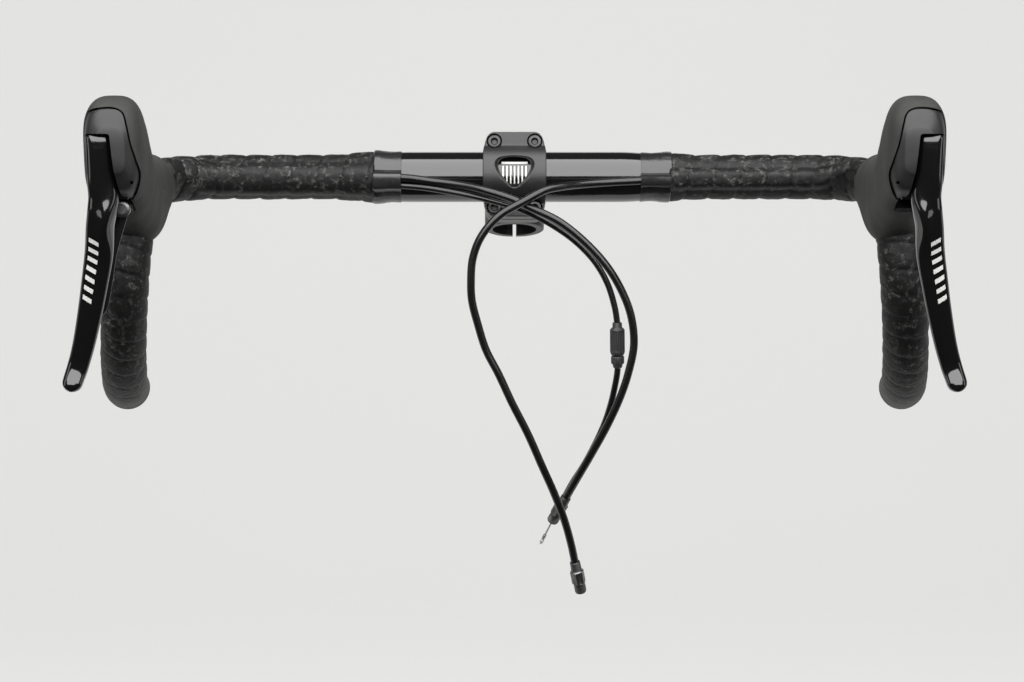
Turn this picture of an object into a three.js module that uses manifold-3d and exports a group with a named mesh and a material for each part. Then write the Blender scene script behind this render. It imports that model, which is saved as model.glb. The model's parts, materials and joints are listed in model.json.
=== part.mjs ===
// Drop handlebar with stem, tape, hydraulic brake levers, shift lever and lines.
// Millimetres, +Z up, -Y forward, +X to the rider's left. The origin is on the steerer axis at the
// lower face of the stem's steerer clamp. Everything on the bar is laid out from the bar centre BAR.
import * as THREE from "three";
import { mergeVertices } from "three/addons/utils/BufferGeometryUtils.js";
import Module from "manifold-3d";

const wasm = await Module();
wasm.setup();

// ---------------------------------------------------------------- driving dimensions
const HEAD_ANGLE = 71.5; // steerer axis from the horizontal, degrees
const STEERER_D = 28.6;
const STEM_LENGTH = 90, STEM_STACK = 40, STEM_RISE = 12.5; // rise from the horizontal, degrees
const CLAMP_D = 31.8, GRIP_D = 23.8, BAR_WALL = 2.1; // bar: clamp zone, taped zone, wall
const TAPE_D = 28.2, TAPE_GAP = 0.3;
const BRAKE_HOSE_D = 5, SHIFT_HOUSING_D = 4, WIRE_D = 1.2;
const FACE_WIDTH = 40, FACE_BOLT_X = 12.7, FACE_BOLT_N = 21, STEM_BOLT_D = 5;
const FINISH_L = [79, 98.4], FINISH_R = [71, 89]; // finishing tape, distances from the centre
const HOOD_START = 0, PIVOT = [-132, 3]; // lever pivot, y and z from the bar centre
const SIDES = 10;

const V = (x, y, z) => new THREE.Vector3(x, y, z);
const rad = (d) => (d * Math.PI) / 180;
const u = V(0, Math.cos(rad(HEAD_ANGLE)), Math.sin(rad(HEAD_ANGLE))); // up the steerer
const fwd = V(0, -Math.cos(rad(STEM_RISE)), Math.sin(rad(STEM_RISE))); // out along the stem
const nrm = V(0, Math.sin(rad(STEM_RISE)), Math.cos(rad(STEM_RISE))); // up across the stem
const CLAMP_MID = u.clone().multiplyScalar(STEM_STACK / 2);
const BAR = CLAMP_MID.clone().addScaledVector(fwd, STEM_LENGTH);

// ---------------------------------------------------------------- solids
function solid(geometry, matrix) {
  let g = geometry.clone();
  if (matrix) g.applyMatrix4(matrix);
  for (const k of Object.keys(g.attributes)) if (k !== "position") g.deleteAttribute(k);
  g = mergeVertices(g, 1e-4);
  const p = new Float32Array(g.attributes.position.array);
  const ix = g.index.array, t = [];
  let vol = 0;
  for (let i = 0; i < ix.length; i += 3) {
    const [a, b, c] = [ix[i], ix[i + 1], ix[i + 2]];
    if (a === b || b === c || a === c) continue;
    t.push(a, b, c);
    const [ax, ay, az] = p.subarray(a * 3, a * 3 + 3), [bx, by, bz] = p.subarray(b * 3, b * 3 + 3), [cx, cy, cz] = p.subarray(c * 3, c * 3 + 3);
    vol += ax * (by * cz - bz * cy) - ay * (bx * cz - bz * cx) + az * (bx * cy - by * cx);
  }
  if (vol < 0) for (let i = 0; i < t.length; i += 3) [t[i + 1], t[i + 2]] = [t[i + 2], t[i + 1]];
  return new wasm.Manifold(new wasm.Mesh({ numProp: 3, vertProperties: p, triVerts: new Uint32Array(t) }));
}
const geometryOf = (m) => {
  const mesh = m.getMesh(), n = mesh.numProp, out = new Float32Array(mesh.numVert * 3);
  for (let i = 0; i < mesh.numVert; i++) out.set(mesh.vertProperties.subarray(i * n, i * n + 3), i * 3);
  const g = new THREE.BufferGeometry();
  g.setAttribute("position", new THREE.BufferAttribute(out, 3));
  g.setIndex(new THREE.BufferAttribute(new Uint32Array(mesh.triVerts), 1));
  g.computeVertexNormals();
  return g;
};
const join = (...m) => m.reduce((a, b) => a.add(b));
const cut = (m, ...c) => c.reduce((a, b) => a.subtract(b), m);
const biggest = (m) => m.decompose().sort((a, b) => b.volume() - a.volume())[0];
const mirror = (m) => {
  const g = geometryOf(m);
  g.scale(-1, 1, 1);
  return solid(g);
};
// A cylinder's skin pulled over rings: ring k holds centre c and at(angle) on its rim.
function loft(rings, sides = SIDES) {
  const n = rings.length - 1;
  const g = new THREE.CylinderGeometry(1, 1, n, sides, n, false);
  const pos = g.attributes.position;
  for (let i = 0; i < pos.count; i++) {
    const x = pos.getX(i), z = pos.getZ(i), r = rings[Math.round(n / 2 - pos.getY(i))];
    const q = Math.hypot(x, z) < 0.5 ? r.c : r.at(Math.atan2(z, x));
    pos.setXYZ(i, q.x, q.y, q.z);
  }
  return solid(g);
}
const sup = (v, e) => Math.sign(v) * Math.pow(Math.abs(v), 2 / e);
const oval = (c, a, b, e = 2) => ({ c, at: (w) => c.clone().addScaledVector(a, sup(Math.cos(w), e)).addScaledVector(b, sup(Math.sin(w), e)) });
function box(x0, x1, y0, y1, z0, z1) {
  return solid(new THREE.BoxGeometry(x1 - x0, y1 - y0, z1 - z0), new THREE.Matrix4().makeTranslation((x0 + x1) / 2, (y0 + y1) / 2, (z0 + z1) / 2));
}
// A straight rod from p to q; sides 6 gives a hexagon.
function rod(p, q, r, sides = 16, r2 = r) {
  const d = q.clone().sub(p), g = new THREE.CylinderGeometry(r2, r, d.length(), sides, 1, false);
  const m = new THREE.Matrix4().makeRotationFromQuaternion(new THREE.Quaternion().setFromUnitVectors(V(0, 1, 0), d.clone().normalize()));
  m.setPosition(p.clone().add(q).multiplyScalar(0.5));
  return solid(g, m);
}
// A plate drawn in y and z, thick from x0 to x1.
function plate(points, x0, x1) {
  const g = new THREE.ExtrudeGeometry(new THREE.Shape(points.map((p) => new THREE.Vector2(p[0], p[1]))), { depth: x1 - x0, bevelEnabled: false });
  const m = new THREE.Matrix4().set(0, 0, 1, x0, 1, 0, 0, 0, 0, 1, 0, 0, 0, 0, 0, 1);
  return solid(g, m);
}
function circleShape(r, sides, hole) {
  const s = new THREE.Shape(), at = (k, q) => [q * Math.cos((k / sides) * 2 * Math.PI), q * Math.sin((k / sides) * 2 * Math.PI)];
  for (let k = 0; k < sides; k++) k ? s.lineTo(...at(k, r)) : s.moveTo(...at(k, r));
  s.closePath();
  return s;
}
// A line along a curve: section extruded on a path.
function line(points, r, sides, steps) {
  const curve = new THREE.CatmullRomCurve3(points, false, "centripetal");
  return solid(new THREE.ExtrudeGeometry(circleShape(r, sides), { steps, bevelEnabled: false, extrudePath: curve }));
}

// ---------------------------------------------------------------- the bar's centreline (one half), from BAR
const HALF = [
  [0, 0, 0], [60, 0, 0], [120, 0, 0], [172, 0, 0], [186, -0.9, 0], [198, -4.2, -0.2], [209, -10, -0.6], [218.5, -19.5, -1.4],
  [225, -31, -3], [228.8, -44, -6.5], [230.6, -57, -12.5], [232, -68, -22.5], [233.2, -74.5, -36], [235, -76, -52],
  [236.7, -73, -69], [238.8, -65.5, -86.5], [241, -53, -103.5], [243.4, -36, -118], [245.6, -17, -127.5], [248, 3, -132.5],
  [249.8, 19, -135.5], [251.2, 33, -137.8],
].map((p) => V(...p));
const halfCurve = new THREE.CatmullRomCurve3([V(-60, 0, 0), ...HALF], false, "centripetal");
const TABLE = (() => {
  const n = 1400, rows = [];
  let s = 0, a = V(0, 0, 1);
  for (let i = 0; i <= n; i++) {
    const w = 1 / (HALF.length) + (1 - 1 / (HALF.length)) * (i / n);
    const p = halfCurve.getPoint(w), t = halfCurve.getTangent(w);
    if (i) s += p.distanceTo(rows[i - 1].p);
    a = a.clone().addScaledVector(t, -a.dot(t)).normalize();
    rows.push({ s, p, t, a, b: V(0, 0, 0).crossVectors(t, a) });
  }
  return rows;
})();
const HALF_LENGTH = TABLE[TABLE.length - 1].s;
function station(s) {
  const q = Math.abs(s);
  let lo = 0, hi = TABLE.length - 1;
  while (hi - lo > 1) { const m = (lo + hi) >> 1; if (TABLE[m].s <= q) lo = m; else hi = m; }
  const f = Math.min(1, (q - TABLE[lo].s) / (TABLE[hi].s - TABLE[lo].s || 1));
  const mix = (k) => TABLE[lo][k].clone().lerp(TABLE[hi][k], f);
  const o = { p: mix("p"), t: mix("t").normalize(), a: mix("a").normalize(), b: mix("b").normalize() };
  if (s < 0) for (const k of ["p", "t", "a", "b"]) o[k].x *= -1;
  return o;
}
const barRadius = (s) => {
  const k = THREE.MathUtils.smoothstep(Math.abs(s), 66, 120);
  return THREE.MathUtils.lerp(CLAMP_D / 2, GRIP_D / 2, k);
};
const tapeRadius = (s) => TAPE_D / 2 + (barRadius(s) - GRIP_D / 2) * 0.93 + 0;
const STATIONS = [0, 66, 80, 93, 106, 120, 176];
for (let s = 189; s < HALF_LENGTH - 7; s += 13.4) STATIONS.push(s);
STATIONS.push(HALF_LENGTH);
function sweep(from, to, radius, sides = SIDES, grow = 0) {
  const list = [from, ...STATIONS.filter((s) => s > from + 2.5 && s < to - 2.5), to];
  const ext = (s, e) => { const o = station(s); if (e) o.p.addScaledVector(o.t, e); return o; };
  return loft(list.map((s, i) => {
    const o = ext(s, i === 0 ? -grow : i === list.length - 1 ? grow : 0), r = radius(s);
    return oval(o.p, o.a.clone().multiplyScalar(r), o.b.clone().multiplyScalar(r));
  }), sides);
}
function sweepFull(radius, sides, grow = 0) {
  const list = [...STATIONS.slice(1).map((s) => -s).reverse(), ...STATIONS];
  return loft(list.map((s, i) => {
    const o = station(s), r = radius(s);
    if (i === 0 || i === list.length - 1) o.p.addScaledVector(o.t, grow);
    return oval(o.p, o.a.clone().multiplyScalar(r), o.b.clone().multiplyScalar(r));
  }), sides);
}
const handlebar = cut(sweepFull(barRadius, SIDES), sweepFull((s) => barRadius(s) - BAR_WALL, 8, 2));

// ---------------------------------------------------------------- the lines' routes, from BAR, drawn for the +X side up to the exit
const HOOD_S = 236.5, LEVER_S = 262; // arc lengths: where the hood starts, where a line meets the lever body
const barInner = (s, off, deg) => {
  const o = station(Math.abs(s)), n = V(0, 0, 0).crossVectors(o.t, V(0, 0, 1)).normalize(), z = V(0, 0, 0).crossVectors(n, o.t);
  return o.p.clone().addScaledVector(n, off * Math.cos(rad(deg))).addScaledVector(z, off * Math.sin(rad(deg)));
};
// deg: angle under the front of the bar at the exit, under the tape, and by the lever
const climb = (s, degTape, degLever) => degTape + (degLever - degTape) * THREE.MathUtils.smoothstep(s, 188, 236);
const underTape = (r, degExit, degTape, degLever, exit) => {
  const out = [];
  for (const s of [LEVER_S, 253, 244, 235, 226, 217, 208, 199, 188, 170, 145, 122, 112, 102, 92, 84, 77]) {
    if (s < exit + 3) break;
    const k = THREE.MathUtils.smoothstep(s, exit, 125);
    out.push(barInner(s, barRadius(s) + r + 0.45 + 1.7 * THREE.MathUtils.smoothstep(s, 238, 256), degExit + (climb(s, degTape, degLever) - degExit) * k));
  }
  return out;
};
const flip = (pts) => pts.map((p) => V(-p.x, p.y, p.z));
const FRONT_UNDER = underTape(BRAKE_HOSE_D / 2, -4, -3, 40, 79);
const REAR_UNDER = flip(underTape(BRAKE_HOSE_D / 2, 1.5, 4, 54, 71));
const SHIFT_UNDER = flip(underTape(SHIFT_HOUSING_D / 2, -13.5, -17, 26, 71));
const FRONT_FREE = [[74, -18.95, -1.7], [60.8, -20.4, -2.3], [40.9, -28.5, -3.4], [28.1, -37.6, -4.5], [18.8, -42.8, -6.2], [5.2, -47.6, -13.1],
  [-9.9, -49.5, -22], [-20.4, -49.8, -34.2], [-25.7, -49.2, -47.7], [-26.9, -48.8, -62.4], [-26.3, -48, -74.3], [-22.6, -46.6, -89.3], [-17.7, -45.2, -105],
  [-10, -44.8, -120], [-1.6, -43.7, -138.3], [8.4, -40.8, -158.4], [17.1, -36, -178.9], [24.8, -29.8, -197.1], [31.3, -23.6, -214.9], [35.9, -18.4, -231.9], [38.4, -14.5, -244.1]].map((p) => V(...p));
const REAR_FREE = [[-66, -19, 0.1], [-52.8, -20.3, -1.6], [-35.5, -26.6, -3.6], [-17.7, -36, -6.8], [0.9, -40.6, -12.7], [9.5, -42, -16.9], [27.3, -44, -25.4],
  [44.1, -44.4, -38.8], [57.4, -44.8, -53.6], [66.4, -44.4, -68.7], [72.1, -44, -84], [74, -42.9, -102.1], [70.5, -41.8, -120.4], [65.6, -39.4, -135.7], [58.1, -34.2, -153.4],
  [49.3, -27, -171.1], [40.5, -17.8, -188.2], [32.8, -8.3, -203.5]].map((p) => V(...p));
const SHIFT_FREE = [[-66, -18.7, -4.9], [-55.9, -19.9, -5.8], [-46.5, -23, -7.1], [-24.6, -30.4, -10.8], [-4.1, -34.9, -15.9], [5.2, -35.2, -19],
  [23.2, -34.2, -28.2], [38.2, -33.2, -38.9], [50, -33.5, -51.3], [57.8, -34, -64.8], [62.5, -34.6, -80.2]].map((p) => V(...p));
const ADJ_TOP = V(63.9, -34.7, -89.2), ADJ_END = V(64.4, -32.6, -117.6); // the in-line adjuster's ends
const SHIFT_LOWER = [V(64.4, -32.5, -118), V(63.9, -31.6, -123), V(60.6, -26.8, -140.4), V(55.8, -19.5, -156.6), V(45.5, -7.9, -180.1), V(36.2, 2.4, -197.1), V(30, 12, -211.1)];

const hoseSteps = 48;
const frontPath = [...FRONT_UNDER, ...FRONT_FREE], rearPath = [...REAR_UNDER, ...REAR_FREE];
const shiftPath = [...SHIFT_UNDER, ...SHIFT_FREE, ADJ_TOP];
const front_brake_hose = line(frontPath, BRAKE_HOSE_D / 2, 8, hoseSteps);
const rear_brake_hose = line(rearPath, BRAKE_HOSE_D / 2, 8, hoseSteps);
const shift_housing_upper = line(shiftPath, SHIFT_HOUSING_D / 2, 8, 38);
const shift_housing_lower = line(SHIFT_LOWER, SHIFT_HOUSING_D / 2, 8, 12);
const channel = (under, r) => line([under[0].clone().multiplyScalar(2).sub(under[1]).lerp(under[0], 0.6), ...under.slice(0, 6)], r, 6, 6); // a line's way into the lever body
const frontChannel = channel(FRONT_UNDER, BRAKE_HOSE_D / 2 + 0.8);
const rearChannel = channel(REAR_UNDER, BRAKE_HOSE_D / 2 + 0.62);
const shiftChannel = channel(SHIFT_UNDER, SHIFT_HOUSING_D / 2 + 0.62);

// ---------------------------------------------------------------- tape
const END_S = HALF_LENGTH - 0.3, DROP_S = 293;
// Tape over a line that runs along the front of the bar: round, with a ridge at the front.
// mid and half: where the ridge lies and how far it reaches each way, in degrees.
const RIDGE_ANGLES = [0, 0.45, 0.9, 1.35, 1.8]; // shares of the ridge's half width
function ridged(s0, s1, radius, ridge, midAt, half, grow = 0) {
  const list = [s0, ...STATIONS.filter((s) => s > s0 + 2.5 && s < s1 - 2.5), s1];
  const angles = [...RIDGE_ANGLES.slice().reverse().map((k) => -k * half), ...RIDGE_ANGLES.slice(1).map((k) => k * half)];
  const first = angles[0], last = angles[angles.length - 1], rest = 9;
  for (let k = 1; k < rest; k++) angles.push(last + ((first + 360 - last) * k) / rest);
  return loft(list.map((s, i) => {
    const o = station(s), n = V(0, 0, 0).crossVectors(o.t, V(0, 0, 1)).normalize(), z = V(0, 0, 0).crossVectors(n, o.t), mid = midAt(s);
    if (grow) o.p.addScaledVector(o.t, i === 0 ? -grow : i === list.length - 1 ? grow : 0);
    return { c: o.p, at: (w) => {
      const k = ((Math.round((w / (2 * Math.PI)) * angles.length) % angles.length) + angles.length) % angles.length;
      const d = angles[k], off = Math.abs(d > 180 ? d - 360 : d) / half;
      const lift = ridge * (1 - THREE.MathUtils.smoothstep(off, 0.85, 1.75)), r = radius(s) * (lift > 0.01 ? 1.035 : 1.068) + lift;
      return o.p.clone().addScaledVector(n, r * Math.cos(rad(mid + d))).addScaledVector(z, r * Math.sin(rad(mid + d)));
    } };
  }), angles.length);
}
const sleeve = (s0, s1, rOut, mid, half, side) => {
  const lift = BRAKE_HOSE_D + 0.55;
  const body = cut(ridged(s0, s1, rOut, lift - 0.55, mid, half), ridged(s0, s1, (s) => barRadius(s) + TAPE_GAP, lift, mid, half, 1));
  return side < 0 ? mirror(body) : body;
};
const vinyl = (s) => Math.max(barRadius(s) + 0.95, tapeRadius(s) + 0.2);
const finishing_tape_left = sleeve(FINISH_L[0], FINISH_L[1], vinyl, () => -4, 12, 1);
const finishing_tape_right = sleeve(FINISH_R[0], FINISH_R[1], vinyl, () => -5, 19, -1);
const bar_tape_top_left = sleeve(FINISH_L[1] + 0.4, HOOD_S - 0.4, tapeRadius, (s) => climb(s, -3, 40), 16, 1);
const bar_tape_top_right = sleeve(FINISH_R[1] + 0.4, HOOD_S - 0.4, tapeRadius, (s) => climb(s, -6, 39), 26, -1);
const sleeveRound = (s0, s1, rOut) => cut(sweep(s0, s1, rOut), sweep(s0, s1, (s) => barRadius(s) + TAPE_GAP, SIDES, 1));
const bar_tape_drop_left = sleeveRound(DROP_S, END_S, tapeRadius);
const bar_tape_drop_right = mirror(bar_tape_drop_left);
const endSt = station(HALF_LENGTH);
const plugAt = (d) => endSt.p.clone().addScaledVector(endSt.t, d);
const bar_end_plug_left = join(rod(plugAt(0.3), plugAt(3.6), 14.2, 18, 12.6), rod(plugAt(-14), plugAt(0.6), GRIP_D / 2 - BAR_WALL - 0.75, 12));
const bar_end_plug_right = mirror(bar_end_plug_left);

// ---------------------------------------------------------------- lever body (drawn for +X, from BAR)
// rings: y, centre x, centre z, half width, half height
const HOOD = [
  [-36.5, 227, -3.4, 17, 17], [-46, 228.2, -5.2, 17.8, 21.6], [-60, 229.4, -9.8, 17.6, 27.5], [-75, 230.2, -9.2, 17.4, 29], [-90, 229.8, -3.5, 16.6, 26.5],
  [-105, 229.2, 2, 16.2, 25.5], [-120, 229, 9.5, 16.6, 28], [-134, 229, 18.2, 17.2, 30.2], [-148, 229, 23.1, 17.4, 30.2], [-159, 229, 23.8, 17, 28.4], [-167, 229, 22.8, 15.2, 23.6], [-171.5, 229, 22.5, 11.5, 16.5],
];
const hoodLoft = (inset, y0, y1, extra = []) => loft([...extra, ...HOOD.filter((r) => r[0] <= y0 && r[0] >= y1)].map(([y, x, z, w, h]) => oval(V(x, y, z), V(w - inset, 0, 0), V(0, 0, h - inset), 2.5)), 14);
const hoodOuter = hoodLoft(0, -36, -172);
const hoodInner = hoodLoft(2, -40, -165, [[-20, 225.2, -2.6, 17.2, 17.4], [-38, 227.1, -3.6, 17.4, 18]]);
const bodyCore = hoodLoft(2.4, -40, -165);
// the seam between the rubber and the front shell: a plane leaning back towards its foot
const SEAM_A = V(229, -161.5, 47), SEAM_B = V(229, -146, -18);
const seamDir = SEAM_B.clone().sub(SEAM_A).normalize(), seamN = V(0, -Math.abs(seamDir.z), Math.abs(seamDir.y) * -1).normalize();
function halfSpace(point, normal, size = 160) { // block on the side the normal points to
  const c = point.clone().addScaledVector(normal, size / 2);
  const m = new THREE.Matrix4().makeRotationFromQuaternion(new THREE.Quaternion().setFromUnitVectors(V(0, 0, 1), normal.clone().normalize()));
  m.setPosition(c);
  return solid(new THREE.BoxGeometry(size, size, size), m);
}
const seamBack = seamN.clone().negate();
const barClear = (r) => sweep(225, 325, () => r, 8);
const bladeWindow = box(222, 243.2, -185, -141, -45, 31.8);
const underRelief = join(box(219.3, 243.2, -172, -134.5, -60, -1.2), box(219.3, 236.4, -135, -128, -60, -6.3)); // room under the horn for the paddle's eye
const nutRoom = (under) => { const d = under[0].clone().sub(under[1]).normalize(); return rod(under[0].clone().addScaledVector(d, -5), under[0].clone().addScaledVector(d, 7), 4.5, 6); };
let hood_rubber = cut(hoodOuter.intersect(halfSpace(SEAM_A.clone().addScaledVector(seamBack, 0.2), seamBack)), hoodInner, barClear(TAPE_D / 2 + 1.3), bladeWindow, underRelief, frontChannel, nutRoom(FRONT_UNDER));
const hood_rubber_right = cut(mirror(cut(hoodOuter.intersect(halfSpace(SEAM_A.clone().addScaledVector(seamBack, 0.2), seamBack)), hoodInner, barClear(TAPE_D / 2 + 1.3), bladeWindow, underRelief)), rearChannel, shiftChannel, nutRoom(REAR_UNDER));
let front_shell = cut(hoodOuter.intersect(halfSpace(SEAM_A.clone().addScaledVector(seamN, 0.2), seamN)), hoodInner, bladeWindow, underRelief);
// the lever body stands in front of the bar; the band goes round behind it
const CLAMP_S = 282;
const cs = station(CLAMP_S), clampFront = V(0, 0, 0).crossVectors(cs.t, V(-1, 0, 0)).normalize();
if (clampFront.y > 0) clampFront.negate();
const slotProfile = [[-115, -40], [-115, 11], [-121.5, 11.8], [-133.4, 15.5], [-146, 25], [-146, 33], [-180, 33], [-180, -40]];
const CYL0 = V(229, -120, 8), CYLD = V(0, -0.5, 0.866);
const cyl = (d) => CYL0.clone().addScaledVector(CYLD, d);
const bandRing = (r0, r1, w) => cut(rod(cs.p.clone().addScaledVector(cs.t, -w / 2), cs.p.clone().addScaledVector(cs.t, w / 2), r1, 12), rod(cs.p.clone().addScaledVector(cs.t, -w), cs.p.clone().addScaledVector(cs.t, w), r0, 12));
const lugPoint = cs.p.clone().addScaledVector(clampFront, 16);
const boltFrom = lugPoint.clone().addScaledVector(clampFront, 14), boltTo = lugPoint.clone().addScaledVector(clampFront, -1.6);
const lug = rod(lugPoint.clone().addScaledVector(clampFront, -3), lugPoint.clone().addScaledVector(clampFront, 2), 4.4, 10);
let bracket = bodyCore.intersect(halfSpace(SEAM_A.clone().addScaledVector(seamBack, 1), seamBack));
bracket = bracket.intersect(halfSpace(cs.p.clone().addScaledVector(clampFront, 1.5), clampFront, 220));
const nutRoute = (under) => { const a = under[0], d = under[0].clone().sub(under[1]).normalize(); return [a.clone().addScaledVector(d, 9), a.clone().addScaledVector(d, -6)]; };
const frontNut = nutRoute(FRONT_UNDER);
bracket = cut(bracket,
  barClear(13.4),
  rod(cs.p.clone().addScaledVector(cs.t, -5.2), cs.p.clone().addScaledVector(cs.t, 5.2), 15.6, 12),
  plate(slotProfile, 221.9, 236.4), box(223.2, 243.2, -185, -149.2, -45, 31.8), underRelief,
  rod(cyl(-3), cyl(33), 6.4, 16),
  box(220.6, 237.4, -154.4, -143.6, 34.6, 60),
  rod(V(205, PIVOT[0], PIVOT[1]), V(255, PIVOT[0], PIVOT[1]), 2.8, 12),
  rod(boltFrom.clone().addScaledVector(clampFront, -6), boltTo, 2.9, 12),
  rod(boltFrom.clone().addScaledVector(clampFront, -6.3), boltFrom.clone().addScaledVector(clampFront, 30), 4.9, 14),
  rod(lugPoint.clone().addScaledVector(clampFront, -5), lugPoint.clone().addScaledVector(clampFront, 2.4), 4.9, 10),
  rod(frontNut[0], frontNut[1], 4.3, 12), frontChannel);
const lever_bracket_left = biggest(bracket);
// right body: two lines come in, and the shift spool has a pocket open at the bottom
const SPOOL = V(229, -103, 8);
const SPOOL_R = 8.4;
const rearNut = flip(nutRoute(REAR_UNDER)).map((p) => p); // as seen on the +X side
const shiftEnd = flip(nutRoute(SHIFT_UNDER));
const wireFrom = V(226.2, -101.5, 8 - SPOOL_R - 1), wireTo = flip(SHIFT_UNDER)[0].clone();
const wireDir = wireTo.clone().sub(wireFrom).normalize();
let bracketR = bodyCore.intersect(halfSpace(SEAM_A.clone().addScaledVector(seamBack, 1), seamBack));
bracketR = bracketR.intersect(halfSpace(cs.p.clone().addScaledVector(clampFront, 1.5), clampFront, 220));
bracketR = cut(bracketR,
  barClear(13.4),
  rod(cs.p.clone().addScaledVector(cs.t, -5.2), cs.p.clone().addScaledVector(cs.t, 5.2), 15.6, 12),
  plate(slotProfile, 221.9, 236.4), box(223.2, 243.2, -185, -149.2, -45, 31.8), underRelief,
  rod(cyl(-3), cyl(33), 6.4, 16),
  box(220.6, 237.4, -154.4, -143.6, 34.6, 60),
  rod(V(205, PIVOT[0], PIVOT[1]), V(255, PIVOT[0], PIVOT[1]), 2.8, 12),
  rod(boltFrom.clone().addScaledVector(clampFront, -6), boltTo, 2.9, 12),
  rod(boltFrom.clone().addScaledVector(clampFront, -6.3), boltFrom.clone().addScaledVector(clampFront, 30), 4.9, 14),
  rod(lugPoint.clone().addScaledVector(clampFront, -5), lugPoint.clone().addScaledVector(clampFront, 2.4), 4.9, 10),
  rod(rearNut[0], rearNut[1], 4.3, 12), mirror(rearChannel), mirror(shiftChannel),
  rod(shiftEnd[0].clone().addScaledVector(shiftEnd[0].clone().sub(shiftEnd[1]).normalize(), -8), shiftEnd[1], 2.6, 10),
  rod(V(223.4, SPOOL.y, SPOOL.z), V(234.6, SPOOL.y, SPOOL.z), SPOOL_R + 0.8, 16),
  box(223.4, 234.6, SPOOL.y - SPOOL_R - 0.8, SPOOL.y + SPOOL_R + 0.8, SPOOL.z, 50),
  rod(wireFrom.clone().addScaledVector(wireDir, 0), wireTo.clone().addScaledVector(wireDir, 2), 1.4, 8));
const lever_bracket_right = mirror(bracketR);
const clampBand = cut(join(bandRing(GRIP_D / 2 + 1.2, GRIP_D / 2 + 2.8, 8), lug), rod(cs.p.clone().addScaledVector(cs.t, -9), cs.p.clone().addScaledVector(cs.t, 9), GRIP_D / 2 + 1.2, 12), rod(boltFrom, boltTo.clone().addScaledVector(clampFront, -2), 2.8, 10));
const bolt = (head, tip, r, headR, headL, socket) => {
  const d = tip.clone().sub(head).normalize();
  return cut(join(rod(head, head.clone().addScaledVector(d, headL), headR, 10), rod(head.clone().addScaledVector(d, headL - 0.5), tip, r, 8)), rod(head.clone().addScaledVector(d, -1), head.clone().addScaledVector(d, headL * 0.6), socket, 6));
};
const clampBolt = bolt(boltFrom.clone().addScaledVector(clampFront, -1.6), boltTo.clone().addScaledVector(clampFront, 0.6), 2.5, 4.4, 4.2, 2.1);
// pin, blade, piston, spring, reservoir
const pivotPin = rod(V(217.2, PIVOT[0], PIVOT[1]), V(240.8, PIVOT[0], PIVOT[1]), 2.5, 12);
const BLADE = [ // x, y, z, half width, half depth
  [232.6, -157, 28, 5.4, 2.6], [232.7, -157.6, 23, 7.2, 3.8], [232.9, -156.4, 10, 7.7, 4.5], [233.5, -153.6, -4, 8.3, 5], [236.2, -152, -18, 8.6, 5.1], [239.8, -150, -37, 8.4, 4.9],
  [243.5, -147, -55, 7.8, 4.7], [247.4, -142, -73, 7.2, 4.5], [252.8, -135.4, -94, 6.5, 4.3], [256.6, -132.6, -106, 6.2, 4.2], [259.4, -135.4, -115, 5.9, 3.9], [260.2, -138, -119.6, 3.8, 2.6],
];
const bladeLoft = loft(BLADE.map((r, i) => {
  const a = BLADE[Math.max(0, i - 1)], b = BLADE[Math.min(BLADE.length - 1, i + 1)];
  const t = V(b[0] - a[0], b[1] - a[1], b[2] - a[2]).normalize(), across = V(1, 0, 0).addScaledVector(t, -t.x).normalize(), thick = V(0, 0, 0).crossVectors(t, across);
  return oval(V(r[0], r[1], r[2]), across.multiplyScalar(r[3]), thick.multiplyScalar(r[4]), 2.6);
}), 12);
const armProfile = [[-117.4, -1], [-117.4, 5.8], [-123, 7], [-132, 11.4], [-147.5, 22.8], [-150, 28], [-155, 29.5], [-159, 20], [-158, 2], [-154, -6], [-140, -6], [-130, -5.4], [-122, -3.5]];
const blade = join(plate(armProfile, 222.6, 235.6), bladeLoft);
const pinHole = rod(V(200, PIVOT[0], PIVOT[1]), V(260, PIVOT[0], PIVOT[1]), 2.8, 12);
const brake_lever_left = cut(blade, pinHole);
const PADDLE_ROOT = V(226.8, -141, -12);
const lugBlade = box(222.8, 236, -151, -143.6, -17, -3);
const brake_lever_right = mirror(cut(blade.add(lugBlade), pinHole, rod(V(PADDLE_ROOT.x, -160, PADDLE_ROOT.z), V(PADDLE_ROOT.x, -130, PADDLE_ROOT.z), 2.1, 10)));
const PADDLE = [[227, -141, -11, 4.6, 1.4], [229.6, -141.3, -24, 5.6, 1.3], [235, -140.8, -38, 6.8, 1.3], [239.6, -138, -54, 7.2, 1.3], [243.2, -134.4, -68, 6.4, 1.3], [245.2, -132, -76, 3.8, 1.1]];
const paddleLoft = loft(PADDLE.map((r, i) => {
  const a = PADDLE[Math.max(0, i - 1)], b = PADDLE[Math.min(PADDLE.length - 1, i + 1)];
  const t = V(b[0] - a[0], b[1] - a[1], b[2] - a[2]).normalize(), across = V(1, 0, 0).addScaledVector(t, -t.x).normalize(), thick = V(0, 0, 0).crossVectors(t, across);
  return oval(V(r[0], r[1], r[2]), across.multiplyScalar(r[3]), thick.multiplyScalar(r[4]), 2.6);
}), 12);
const shift_paddle = mirror(cut(join(rod(V(PADDLE_ROOT.x, -143.2, PADDLE_ROOT.z), V(PADDLE_ROOT.x, -138.6, PADDLE_ROOT.z), 5.2, 14), paddleLoft), rod(V(PADDLE_ROOT.x, -160, PADDLE_ROOT.z), V(PADDLE_ROOT.x, -130, PADDLE_ROOT.z), 2.1, 10)));
const paddle_pin = mirror(join(rod(V(PADDLE_ROOT.x, -149.8, PADDLE_ROOT.z), V(PADDLE_ROOT.x, -137.8, PADDLE_ROOT.z), 1.8, 10), rod(V(PADDLE_ROOT.x, -138.3, PADDLE_ROOT.z), V(PADDLE_ROOT.x, -137, PADDLE_ROOT.z), 3.2, 12)));
const piston = rod(cyl(9), cyl(19), 6.05, 16);
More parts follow.
